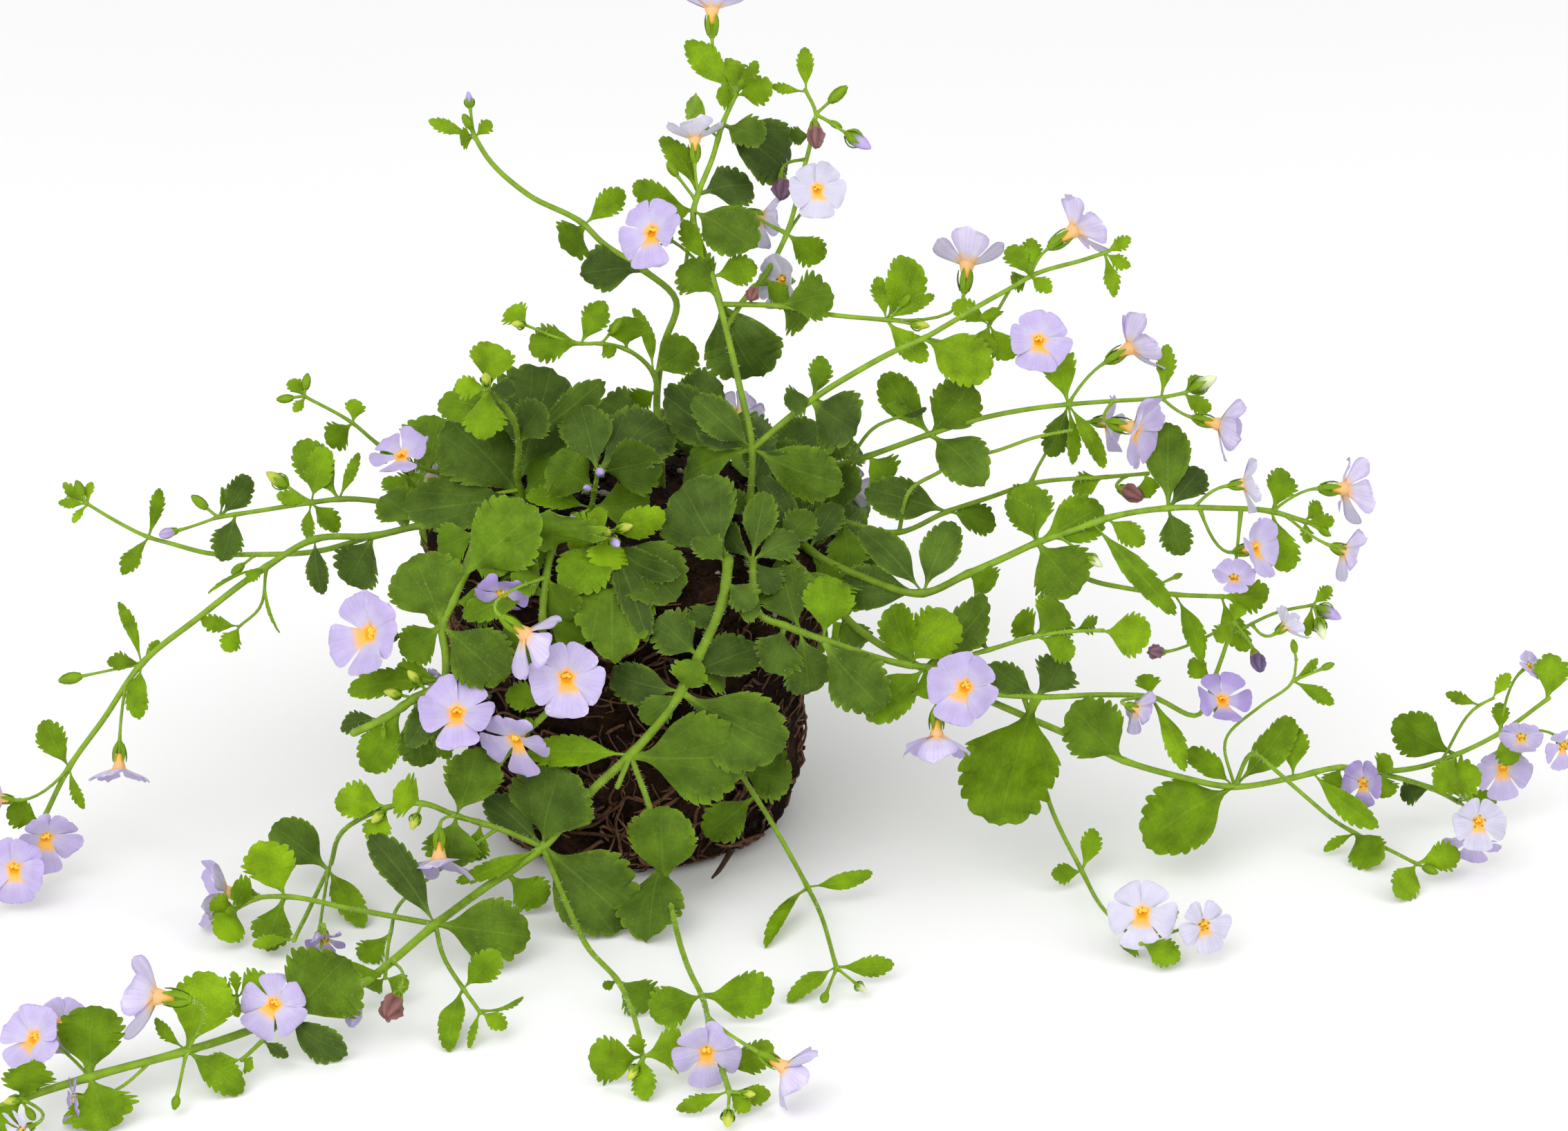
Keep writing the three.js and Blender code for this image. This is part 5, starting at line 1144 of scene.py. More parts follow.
def add_lobes(heap, base, tip, bulge, widths, thick, paint):
    """Adds narrow pointed lobes: four points round each place of a bowed line.

    base, tip and bulge are (lobes, 3); the line is the curve with three handles.
    """
    t = np.linspace(0, 1, len(widths))[None, :, None]
    line = bowed(base[:, None], ((base + tip) / 2 + bulge)[:, None], tip[:, None], t)
    along = unit(np.gradient(line, axis=1))
    outward = squared_to(np.broadcast_to(unit(bulge)[:, None], along.shape), along)
    side = np.cross(along, outward) * widths[:, None]
    thin = outward * np.minimum(thick, widths)[:, None]
    rings = np.stack([line + thin, line + side, line - thin, line - side], axis=2)
    heap.add_rings(rings, paint, (0.6, heap.rng.random(), 0, 0))


def add_calyx(heap, bloom):
    """Adds a calyx: a small cup and five narrow lobes that clasp the bloom's tube."""
    rng, end = heap.rng, bloom.calyx_depth
    cup = bloom.placed(angles_round(CUP_SIDES), CUP_RADII[:, None], end - CUP_DEPTHS[:, None])
    paint = mixed(heap.colours.grown, heap.colours.young, 0.55)
    heap.add_rings(cup[None], paint, (0.6, rng.random(), 0, 0))
    angle = CALYX_ANGLES + rng.normal(0, 0.1, 5)
    base = bloom.placed(angle, 0.06, end - 0.04)
    tip = bloom.placed(angle, CALYX_REACH + rng.uniform(-0.02, 0.02, 5),
                       end - 0.22 - CALYX_AHEAD)
    bulge = 0.05 * (bloom.placed(angle, 1.0, 0.0) - bloom.centre)
    add_lobes(heap, base, tip, bulge, CALYX_LOBE_WIDTHS * bloom.size, 0.25, paint)
    which = rng.integers(0, 5, CALYX_HAIRS)
    feet = base[which] + rng.uniform(0, 1, CALYX_HAIRS)[:, None] * (tip - base)[which]
    ways = unit(bulge[which] + rng.normal(0, 0.25, (CALYX_HAIRS, 3)))
    add_hairs(heap, feet, ways, rng.uniform(0.4, 0.9, CALYX_HAIRS), STEM_HAIR)


def add_bud(heap, foot, tip, length, colour):
    """Adds a bud on its stalk: a ridged oval with five pointed lobes round it."""
    rng, colours = heap.rng, heap.colours
    heading = unit(tip - foot)
    reach = np.linalg.norm(tip - foot)
    base = tip - heading * min(length, reach)
    if reach > length:
        end = base + 0.1 * length * heading
        add_stalk(heap, np.linspace(0, 1, BUD_STALK_POINTS)[:, None] * (end - foot) + foot)
    green = mixed(colours.grown, colours.young, 0.6)
    hue = green if colour == "green" else linear(BUD_COLOURS[colour])
    paint = mixed(green, hue, np.clip((BUD_SHARES - 0.35) / 0.25, 0, 1))
    add_tube(heap, base + BUD_SHARES[:, None] * (tip - base), BUD_RADIUS * length * BUD_RADII,
             BUD_SIDES, paint[:, None], (0.7, rng.random(), 0, 0))
    side = squared_to(np.array([0.3, 0.5, 0.8]), heading)
    out = turned(angles_round(5) + rng.uniform(0, 1), side, np.cross(heading, side))
    ahead, wide = (1.02, 0.05) if colour == "green" else (0.62, 0.2)
    bases = base + length * (0.05 * heading + 0.12 * out)
    tips = base + length * (ahead * heading + wide * out)
    add_lobes(heap, bases, tips, out * 0.3 * length, BUD_LOBE_WIDTHS * length, 0.22, green)


def add_stalks(heap, shoot):
    """Adds a shoot, the stalks and calyces of its blooms, and its buds."""
    add_shoot(heap, shoot)
    for bloom in blooms_of(shoot):
        add_stalk(heap, bloom.stalk())
        add_calyx(heap, bloom)
    for at, across, up, farther, length, colour in shoot.buds:
        foot = shoot.at(at)
        tip = place_beside(foot, across, up, farther, BUD_CLEAR_HEIGHT)
        add_bud(heap, foot, tip, real_size(length, tip), colour)


# Blooms

def add_petals(heap, bloom, white):
    """Adds five rounded petals.

    A point lies at the lobe's angle, so far out from the throat and so far to the side of the
    lobe's middle; the face is cupped near the throat and bends back towards its tips and rims.
    A bloom that is seen from the side is open a little like a funnel.
    """
    rng, colours = heap.rng, heap.colours
    share, x = PETAL_SHARES[:, None], PETAL_COLUMNS[None, :]
    hue = mixed(colours.lilac, colours.white, white) * rng.uniform(0.94, 1.04)
    if np.linalg.norm(VIOLET_PLACES - on_chart(bloom.centre), axis=1).min() < VIOLET_REACH:
        hue = mixed(hue, colours.violet, 0.6)
    halves = mixed(BROAD_HALVES, SLIM_HALVES, rng.uniform(0, 1))[:, None]
    from_side = np.clip(1.5 - 2.5 * abs(bloom.look @ SIGHT), 0, 1)
    open_wide = np.clip(rng.normal(-0.01, 0.05), -0.1, 0.08) - FUNNEL * from_side
    under = underside_of(len(PETAL_SHARES), len(PETAL_COLUMNS))
    for turn, half, reach in LOBES:
        angle = math.radians(turn) + rng.normal(0, 0.04)
        half = half * rng.uniform(1.08, 1.3)
        twist = rng.normal(0, 0.05)
        end = 0.05 * np.clip((share - 0.8) / 0.2, 0, 1) * (1 - np.abs(x)) ** 1.5
        out = reach * (share - end) * (1 - 0.03 * x ** 2)
        wide = x * half * halves
        curl = open_wide + np.clip(rng.normal(0, 0.05), -0.08, 0.1)
        wave, phase = rng.uniform(0.008, 0.024), rng.uniform(0, 6)
        behind = (0.15 * (1 - share) ** 1.6 + curl * share ** 2.5 + 0.03 * x ** 2 * share
                  + twist * x * share + wave * np.sin(5 * x + 4 * share + phase) * share)
        thick = heap.sizes.petal_thickness / MM / bloom.size * (1 - 0.7 * x ** 2)
        thick = np.where(np.abs(x) == 1, 0, thick)
        ahead = turned(np.array(angle), bloom.upper, bloom.right)
        axes = np.stack([ahead, np.cross(ahead, bloom.look), -bloom.look])
        top, low = (bloom.centre + bloom.size * (joined(out, wide, depth) @ axes)
                    for depth in (behind, behind + thick))
        paint = petal_paint(colours, hue, share, under, 0.4 if turn == LOWEST_LOBE else 0.29)
        places = joined(0.5 + wide / 2, out)
        tone = joined(share, rng.random(), under, 0)
        heap.add_rings(folded(top, low)[None], paint, tone, folded(places, places))


def petal_paint(colours, hue, share, under, yellow_to):
    """Colours of a petal: yellow at the throat, then whitish, its back paler with painted light that
    shines through the thin petal, and warm below.
    """
    centre = np.clip((yellow_to - share) / 0.12, 0, 1)
    base = np.clip(1.5 - share / 0.3, 0, 1)
    paint = mixed(hue, colours.white, 0.6 * np.exp(-((share - 0.36) / 0.16) ** 2))
    paint = mixed(paint, colours.throat, 0.95 * centre * (1 - under))
    # Painted light through the petal on its back
    paint = mixed(paint, PETAL_BACK_PAINTED_LIGHT, 0.4 * under)
    return mixed(paint, colours.tube, 0.85 * base * under)


def add_throat(heap, bloom, white):
    """Adds the tube of a bloom, turned round the way it looks: up its outside, over its mouth and down
    its inside, which turns a deeper orange downwards, the throat's own colour and painted shade deep in
    the tube; then the yellow anthers in it."""
    rng, colours = heap.rng, heap.colours
    rings = bloom.placed(angles_round(THROAT_SIDES), THROAT_RADII[:, None],
                         THROAT_DEPTHS[:, None])
    hue = mixed(colours.lilac, colours.white, white)
    outside = mixed(colours.tube, hue, [0, 0, 0.1, 0.2, 0.3])
    inside = mixed(hue, colours.throat, [0.9, 1, 1, 1, 1])
    # Painted shade deep in the tube, with the throat's deeper orange
    inside = mixed(inside, linear(DEEP_THROAT_AND_SHADE), [0, 0, 0.15, 0.35, 0.6])
    paint = np.concatenate([outside, inside])[:, None]
    heap.add_rings(rings[None], paint, (0, rng.random(), 0, 0))
    turns = ANTHER_ANGLES + rng.normal(0, 0.15, 4)
    away = rng.uniform(0.03, 0.06, (4, 1)) * np.linspace(1.6, 0.5, 4)
    centres = bloom.placed(turns[:, None], away, np.linspace(0.16, 0.08, 4)[None, :])
    radii = np.broadcast_to(ANTHER_RADII * bloom.size, (4, 4))
    paint = mixed(colours.throat, ANTHER_PAINT, 0.6)
    heap.add_rings(tube_rings(centres, radii, ANTHER_SIDES), paint, (0.2, rng.random(), 0, 0))


def add_open_bloom(heap, bloom):
    """Adds the tube and the petals of an open bloom."""
    white = 1.0 if bloom.kind == "white" else heap.rng.uniform(0, 0.25)
    add_throat(heap, bloom, white)
    add_petals(heap, bloom, white)


def add_shut_bloom(heap, bloom):
    """Adds a closed or a withered bloom: a folded body of ten ridges, widest before its middle, with
    painted shade in its furrows, deeper on a withered one.
    """
    rng, colours = heap.rng, heap.colours
    withered = bloom.kind == "withered"
    share = np.linspace(0, 1, SHUT_ROWS)[:, None]
    radius = np.interp(share, SHUT_SHARES, SHUT_RADII)
    angle = angles_round(SHUT_SIDES)
    furrow = np.cos(5 * angle + 2.5 * share)
    ridge = 1 + (0.22 if withered else 0.14) * furrow
    hue, dark = np.array(colours.lilac), 0.25
    if withered:
        ridge = ridge * rng.uniform(0.82, 1.12, ridge.shape)
        hue, dark = mixed(colours.withered, linear(RUST), rng.uniform(0, 0.9)), 0.55
    rings = bloom.placed(angle, radius * ridge, 0.3 - 0.5 * share)
    # Painted shade: darker in the furrows between the ridges, by dark
    paint = hue * (1 - dark * (0.5 - 0.5 * furrow))[..., None]
    paint = mixed(paint, colours.tube, np.clip(0.8 - 3 * share, 0, 1))
    heap.add_rings(rings[None], paint, (0.6, rng.random(), 0, 0))


def add_small_blooms(heap, shoot):
    """Adds the blooms of a shoot that are part of its stem's node."""
    for bloom in blooms_of(shoot):
        if bloom.shut:
            add_shut_bloom(heap, bloom)
        elif not bloom.own:
            add_open_bloom(heap, bloom)


# Root ball

def round_ball(angle, reach, z):
    """Points by their angle round the ball, their distance from its axis and their height."""
    return joined(np.cos(angle) * reach, np.sin(angle) * reach, z)


def lumps(angle, z):
    """How far the ball's lumps stand out: two sine waves round it that climb with the height."""
    return sum(size * np.sin(waves * angle + climb * z) for size, waves, climb in LUMPS)


def ball_surface(angle, height_share):
    """A point of the ball's side by its angle and its share of the way up."""
    outline = np.array(BALL_OUTLINE, float)
    z = height_share * BALL_HEIGHT
    return round_ball(angle, np.interp(z, outline[:, 1], outline[:, 0]) + lumps(angle, z), z)


def ball_rings():
    """Rings of the ball from the middle of its foot, up its side and over its soil.

    Each point is the outline's radius plus the lumps of the solid plus three sizes of noise.
    """
    outline = [(radius, 0) for radius in FOOT_RADII] + BALL_OUTLINE
    outline = np.array(outline + [(radius, soil_height(radius)) for radius in SOIL_RADII], float)
    length = way_along(outline)
    at = np.linspace(0, length[-1], BALL_ROWS)
    radius, z = (np.interp(at, length, column)[:, None] for column in outline.T)
    angle = angles_round(BALL_SIDES)
    flat = round_ball(angle, radius, z)
    rough = sum(strength * value_noise(flat, size, SEED + i)
                for i, (strength, size) in enumerate(ROUGHNESS))
    top = np.clip((z - 88) / 4, 0, 1)
    above_foot = np.clip(z / 4, 0, 1) * np.clip(radius / 20, 0, 1)
    reach = radius + (lumps(angle, z) + rough * (1 - 0.7 * top)) * above_foot
    return round_ball(angle, reach, z + (0.8 * rough - 0.6) * top)


def add_peat(heap):
    """Adds the peat: the ball with a colour of crumbs, and the colour of roots in its hollows."""
    peat = np.array(heap.colours.peat)
    rings = ball_rings()
    low = value_noise(rings, 9, SEED + 3) * 0.5 + 0.5
    fine = value_noise(rings, 2.0, SEED + 4) * 0.5 + 0.5
    paint = mixed(peat * 0.35, peat * 0.8, fine)
    paint = mixed(paint, mixed(peat, heap.colours.root, 0.45), low ** 2 * 0.8)
    places = joined(np.arange(BALL_SIDES) / BALL_SIDES * 10,
                    np.arange(BALL_ROWS)[:, None] / BALL_ROWS * 4)
    heap.add_rings(rings[None], paint, joined(low, fine, 0, 0), places)


def add_roots(heap):
    """Adds the web of roots: each runs round and down the side, so far out that it half shows.

    Its angle and height are straight lines plus two sine waves, a long one and a short one.
    """
    rng = heap.rng
    each = (ROOT_COUNT, 1)
    t = np.linspace(0, 1, ROOT_POINTS)[None]
    start, height = rng.uniform(0, 2 * np.pi, each), rng.uniform(0.03, 0.93, each)
    run, fall = rng.normal(0, 0.42, each), rng.normal(-0.05, 0.2, each)
    phase = rng.uniform(0, 2 * np.pi, (ROOT_COUNT, 4, 1))
    angle = (start + run * t + 0.05 * np.sin(5 * t + phase[:, 0])
             + 0.02 * np.sin(14 * t + phase[:, 1]))
    share = (height + fall * t + 0.03 * np.sin(5 * t + phase[:, 2])
             + 0.012 * np.sin(13 * t + phase[:, 3]))
    centres = ball_surface(angle, np.clip(share, 0.02, 0.955))
    out = unit(centres * (1, 1, 0))
    centres = centres + out * (0.55 + 0.75 * np.sin(3 * np.pi * t + phase[:, 0]))[..., None]
    radii = heap.sizes.root_radius / MM * rng.uniform(0.45, 1.5, each)
    radii = radii * np.sin(np.pi * (0.06 + 0.9 * t)) ** 0.4
    root = np.array(heap.colours.root)
    paint = mixed(root * 0.4, root, rng.uniform(0, 1, each))[:, None]
    upright = np.array([0.0, 0.0, 1.0]) + 0.3 * out
    heap.add_rings(tube_rings(centres, radii, ROOT_SIDES, upright), paint, (0.5, 0.5, 0, 0))


def add_dangling_root(heap):
    """Adds the loose root end at the foot, which lies on what the ball stands on."""
    points = np.array([place_back(*place, 0.9) for place in DANGLING_ROOT])
    line = curve_through(points, np.linspace(0, len(points) - 1, DANGLING_POINTS))
    radii = np.interp(np.arange(DANGLING_POINTS), DANGLING_AT, DANGLING_RADII)
    add_tube(heap, line, radii, 9, np.array(heap.colours.root) * 0.3, (0.5, 0.5, 0, 0))


def add_grains(heap, middles, ways, reach, paint):
    """Adds crumbs: rings of five points round a short line, each point at its own distance."""
    rng, count = heap.rng, len(middles)
    line = np.linspace(-1, 1, 4)[None, :, None] * (ways * reach[:, None])[:, None]
    radii = reach[:, None] * GRAIN_RADII * rng.uniform(0.7, 1.2, (count, 4))
    rings = tube_rings(middles[:, None] + 0.75 * line, radii, ROOT_SIDES)
    rings = rings + rng.normal(0, 0.14, rings.shape) * reach[:, None, None, None]
    heap.add_rings(rings, paint, (0.5, 0.5, 0, 0))


def grain_places(count, rng, top_share):
    """Random places on the side and on the soil of the ball, and the way out of it."""
    angle = rng.uniform(0, 2 * np.pi, count)
    side = ball_surface(angle, rng.uniform(0.03, 0.95, count))
    radius = GRAINS_OUT_TO * np.sqrt(rng.uniform(0, 1, count))
    soil = round_ball(angle, radius, soil_height(radius))
    on_top = (rng.random(count) < top_share)[:, None]
    out = np.where(on_top, (0, 0, 1.0), unit(side * (1, 1, 0)))
    return np.where(on_top, soil, side), out


# Materials

class Nodes:
    """The nodes of a material or of a group."""

    def __init__(self, tree):
        self.tree = tree

    def node(self, kind, inputs=None, **settings):
        """A node with its settings, and with each input set to a value or linked to a socket."""
        made = self.tree.nodes.new(kind)
        for key, value in settings.items():
            setattr(made, key, value)
        for key, value in (inputs or {}).items():
            self.put(value, made.inputs[key])
        return made

    def put(self, value, socket):
        """Links a socket to another, or sets it to a value."""
        if isinstance(value, bpy.types.NodeSocket):
            self.tree.links.new(value, socket)
        else:
            socket.default_value = value

    def group(self, name, inputs):
        """The sockets that a named group puts out for its inputs."""
        made = self.node("ShaderNodeGroup", node_tree=bpy.data.node_groups[name])
        for key, value in inputs.items():
            self.put(value, made.inputs[key])
        return list(made.outputs)

    def maths(self, operation, first, second=0.0, third=0.0):
        """The number that a Math node gives for up to three numbers or sockets."""
        return self.node("ShaderNodeMath", {0: first, 1: second, 2: third},
                         operation=operation).outputs[0]

    def ranged(self, value, low, high, first, second):
        """A value carried evenly from one range to another and held there."""
        return self.node("ShaderNodeMapRange", {
            "Value": value, "From Min": low, "From Max": high, "To Min": first,
            "To Max": second}).outputs["Result"]

    def blended(self, kind, share, first, second):
        """Two colours put together by a share. A text is a colour's screen code."""
        if isinstance(second, str):
            second = (*linear(second), 1)
        return self.node("ShaderNodeMix", {0: share, 6: first, 7: second}, data_type="RGBA",
                         blend_type=kind).outputs[2]

    def multiplied(self, colour, strength):
        """A colour made darker or lighter by a number."""
        grey = self.node("ShaderNodeCombineColor", {0: strength, 1: strength, 2: strength})
        return self.blended("MULTIPLY", 1.0, colour, grey.outputs["Color"])


def new_group(name, inputs, outputs):
    """The nodes of a new group, what it is given by name, and a way to put out by name."""
    tree = bpy.data.node_groups.new(name, "ShaderNodeTree")
    for label, default in inputs.items():
        kind = "NodeSocketVector" if default is None else "NodeSocketFloat"
        socket = tree.interface.new_socket(label, in_out="INPUT", socket_type=kind)
        if default is not None:
            socket.default_value = default
    for label in outputs:
        tree.interface.new_socket(label, in_out="OUTPUT", socket_type="NodeSocketFloat")
    nodes = Nodes(tree)
    return nodes, nodes.node("NodeGroupInput").outputs, nodes.node("NodeGroupOutput").inputs


def mottle_group():
    """Coarse and fine mottling of a surface about one half, from two sizes of noise."""
    nodes, given, out = new_group("mottle", {"Place": None, "Scale": 100.0}, ["Coarse", "Fine"])
    finer = nodes.maths("MULTIPLY", given["Scale"], 7.0)
    for label, scale, detail in (("Coarse", given["Scale"], 3.0), ("Fine", finer, 2.0)):
        noise = nodes.node("ShaderNodeTexNoise", {"Vector": given["Place"], "Scale": scale,
                                                  "Detail": detail})
        nodes.put(noise.outputs[0], out[label])


def vein_group():
    """The veins of a blade or petal by its own places.

    The midrib lies at half of the first place. Side veins fan out from a place on it: they are
    lines of equal angle about that place, so many to one radian.
    """
    nodes, given, out = new_group(
        "veins", {"Place": None, "Start": 0.1, "Count": 3.0, "Width": 0.06},
        ["Veins", "Midrib", "Net"])
    maths, ranged = nodes.maths, nodes.ranged
    x, y = nodes.node("ShaderNodeSeparateXYZ", {0: given["Place"]}).outputs[:2]
    away = maths("ABSOLUTE", maths("SUBTRACT", x, 0.5))
    level = maths("ARCTAN2", away, maths("SUBTRACT", y, given["Start"]))
    wave = maths("FRACT", maths("MULTIPLY", level, given["Count"]))
    off = maths("ABSOLUTE", maths("SUBTRACT", wave, 0.5))
    width = maths("MULTIPLY", given["Width"], maths("MULTIPLY_ADD", y, -0.5, 1.0))
    midrib_width = maths("MULTIPLY_ADD", y, -0.018, 0.024)
    net = nodes.node("ShaderNodeTexVoronoi", {"Vector": given["Place"], "Scale": 17.0},
                     feature="DISTANCE_TO_EDGE").outputs["Distance"]
    nodes.put(ranged(off, 0.0, width, 1.0, 0.0), out["Veins"])
    nodes.put(ranged(away, 0.0, midrib_width, 1.0, 0.0), out["Midrib"])
    nodes.put(ranged(net, 0.0, 0.09, 1.0, 0.0), out["Net"])


class Finish(Nodes):
    """A material: its principled shader, the painted colour, the tones and the mottling."""

    def __init__(self, name, scale, specular):
        self.material = bpy.data.materials.new(name)
        self.material.use_nodes = True
        super().__init__(self.material.node_tree)
        self.tree.nodes.clear()
        self.shader = self.node("ShaderNodeBsdfPrincipled", {"Specular IOR Level": specular})
        self.node("ShaderNodeOutputMaterial", {"Surface": self.shader.outputs["BSDF"]})
        self.paint = self.node("ShaderNodeAttribute", attribute_name="paint").outputs["Color"]
        tones = self.node("ShaderNodeAttribute", attribute_name="tone")
        self.hair = tones.outputs["Alpha"]
        parts = self.node("ShaderNodeSeparateColor", {0: tones.outputs["Color"]})
        self.age, self.chance = parts.outputs[:2]
        self.place = self.node("ShaderNodeTexCoord").outputs["Object"]
        self.coarse, self.fine = self.group("mottle", {"Place": self.place, "Scale": scale})

    def veins(self, start, count, width):
        """The vein group by the piece's own places: its side veins, midrib and net."""
        places = self.node("ShaderNodeUVMap", uv_map="places").outputs["UV"]
        return self.group("veins", {"Place": places, "Start": start, "Count": count,
                                    "Width": width})

    def by_coarse(self, first, second):
        """A number between two by the coarse mottling."""
        return self.ranged(self.coarse, 0.3, 0.7, first, second)

    def shaded(self, low, high):
        """The painted colour made darker and lighter by the mottling, between two strengths."""
        return self.multiplied(self.paint, self.by_coarse(low, high))

    def finish(self, colour, roughness, height, bump, distance=0.0004):
        """Joins colour, roughness and the height of the bump to the shader."""
        made = self.node("ShaderNodeBump", {"Strength": bump, "Distance": distance,
                                            "Height": height})
        self.put(colour, self.shader.inputs["Base Color"])
        self.put(roughness, self.shader.inputs["Roughness"])
        self.put(made.outputs["Normal"], self.shader.inputs["Normal"])
        return self.material


def leaf_material(name):
    """Blades: pale veins, a darker net of fine veins that paints shade in their sunken lines, mottled
    with their own uneven tone and with painted light and shade, matt, quilted between veins.
    """
    made = Finish(name, 160.0, 0.1)
    maths, ranged, blended = made.maths, made.ranged, made.blended
    veins, midrib, net = made.veins(0.08, 2.7, 0.06)
    chance = ranged(made.chance, 0.0, 1.0, 0.88, 1.12)
    # Strong mottling: the leaf's own uneven tone and painted patches of light and shade
    colour = made.multiplied(made.shaded(0.68, 1.24), chance)
    lines = maths("MAXIMUM", maths("MULTIPLY", veins, 0.07), maths("MULTIPLY", midrib, 0.12))
    colour = blended("MIX", lines, colour, "9cc252")
    # Painted shade in the sunken lines of the net of fine veins
    colour = blended("MULTIPLY", maths("MULTIPLY", net, 0.12), colour, (0.35, 0.45, 0.3, 1))
    colour = blended("MIX", ranged(made.fine, 0.68, 0.74, 0.0, 0.14), colour, "a9c87a")
    colour = blended("MIX", made.hair, colour, "dbe6bf")
    height = maths("MULTIPLY_ADD", lines, -1.2, maths("MULTIPLY", made.fine, 0.5))
    height = maths("MULTIPLY_ADD", net, -0.25, height)
    return made.finish(colour, made.by_coarse(0.46, 0.62), height, 0.6)


def stem_material(name):
    """Stems and calyces: fresh green with fine lengthwise ridges, hairs nearly white."""
    made = Finish(name, 260.0, 0.2)
    colour = made.blended("MIX", made.hair, made.shaded(0.8, 1.18), "eef4e2")
    return made.finish(colour, made.by_coarse(0.45, 0.62), made.fine, 0.45)


def petal_material(name):
    """Petals: faint darker veins along each lobe, soft and thin, a warm throat."""
    made = Finish(name, 240.0, 0.3)
    made.shader.inputs["Sheen Weight"].default_value = 0.05
    veins, midrib, _ = made.veins(-0.25, 11.0, 0.2)
    share = made.maths("MULTIPLY", made.maths("MAXIMUM", veins, midrib),
                       made.ranged(made.age, 0.25, 0.6, 0.0, 0.22))
    veined = {"lilac petal": "a48fd0", "white petal": "c3b7e2"}[name]
    colour = made.blended("MIX", share, made.shaded(0.93, 1.06), veined)
    height = made.maths("MULTIPLY_ADD", veins, -0.4, made.fine)
    return made.finish(colour, made.by_coarse(0.5, 0.66), height, 0.3)


def peat_material(name):
    """Peat: dark and crumbly, with fibres of a lighter brown."""
    made = Finish(name, 420.0, 0.04)
    fibre = made.node("ShaderNodeTexVoronoi", {"Vector": made.place, "Scale": 520.0},
                      feature="DISTANCE_TO_EDGE").outputs["Distance"]
    lines = made.ranged(fibre, 0.0, 0.06, 0.5, 0.0)
    colour = made.blended("MIX", made.maths("MULTIPLY", lines, made.coarse),
                          made.shaded(0.5, 1.5), "5b4434")
    roughness = made.ranged(made.fine, 0.3, 0.7, 0.75, 0.98)
    return made.finish(colour, roughness, made.maths("ADD", made.fine, made.coarse), 1.0, 0.0015)


def root_material(name):
    """Roots and grains: matt, streaked with peat."""
    made = Finish(name, 500.0, 0.15)
    streaks = made.ranged(made.fine, 0.5, 0.7, 0.0, 0.5)
    colour = made.blended("MIX", streaks, made.shaded(0.55, 1.3), "241812")
    return made.finish(colour, made.by_coarse(0.6, 0.9), made.fine, 0.5)


MATERIAL_MAKERS = {
    "leaf blade": leaf_material, "stem": stem_material, "lilac petal": petal_material,
    "white petal": petal_material, "peat": peat_material, "root": root_material,
}


def material_named(name):
    """A finish of this plant, made when it is first asked for."""
    if "mottle" not in bpy.data.node_groups:
        mottle_group()
        vein_group()
    return bpy.data.materials.get(name) or MATERIAL_MAKERS[name](name)


def floor_material(colour):
    """The floor: a pale plain finish with the faintest mottling."""
    material = bpy.data.materials.new("pale floor")
    material.use_nodes = True
    nodes = Nodes(material.node_tree)
    place = nodes.node("ShaderNodeTexCoord").outputs["Object"]
    noise = nodes.node("ShaderNodeTexNoise", {"Vector": place, "Scale": 3.0})
    shader = material.node_tree.nodes["Principled BSDF"]
    tint = nodes.multiplied((*colour, 1), nodes.ranged(noise.outputs[0], 0.3, 0.7, 0.985, 1.0))
    for key, value in (("Base Color", tint), ("Roughness", 0.85), ("Specular IOR Level", 0.1)):
        nodes.put(value, shader.inputs[key])
    return material


# The stage

def place_object(scene, data, place, turn=(0, 0, 0)):
    """A new object of its data's name in the scene."""
    made = bpy.data.objects.new(data.name, data)
    made.location, made.rotation_euler = place, turn
    scene.collection.objects.link(made)
    return made


def add_floor(scene, settings):
    """The square floor."""
    mesh = bpy.data.meshes.new("floor")
    signs = ((-1, -1), (1, -1), (1, 1), (-1, 1))
    corners = [(x * settings.floor_size / 2, y * settings.floor_size / 2, 0) for x, y in signs]
    mesh.from_pydata(corners, [], [(0, 1, 2, 3)])
    mesh.materials.append(floor_material(settings.floor))
    place_object(scene, mesh, (0, 0, 0))


def add_camera(scene):
    """The camera stands at the eye of the chart and takes in the chart's width."""
    data = bpy.data.cameras.new("camera")
    data.sensor_width = SENSOR_WIDTH
    data.lens = SENSOR_WIDTH * EYE_DISTANCE / CHART_WIDTH
    data.sensor_fit = "HORIZONTAL"
    data.clip_start, data.clip_end = 0.01, 50
    scene.camera = place_object(scene, data, EYE_POINT * MM, (math.pi / 2 - EYE_FALL, 0, 0))


def add_lamp(scene, name, place, size, power):
    """A square area lamp that looks at the middle of the plant."""
    data = bpy.data.lights.new(name, "AREA")
    data.size, data.energy = size, power
    to_plant = Vector(LAMP_TARGET) - Vector(place)
    place_object(scene, data, place, to_plant.to_track_quat("-Z", "Y").to_euler())


# Operators

def make_stem_pieces(context, label, add_part, piece, finish, slot):
    """Makes one piece for each stem, filled shoot by shoot, unless nothing is in it."""
    for name in STEMS:
        heap = Heap(context, label, name)
        for shoot in shoots_of(name):
            add_part(heap, shoot)
        if heap.count:
            heap.make(f"{piece}_{name}", finish, slot, f"stem_{name}")
    return {"FINISHED"}


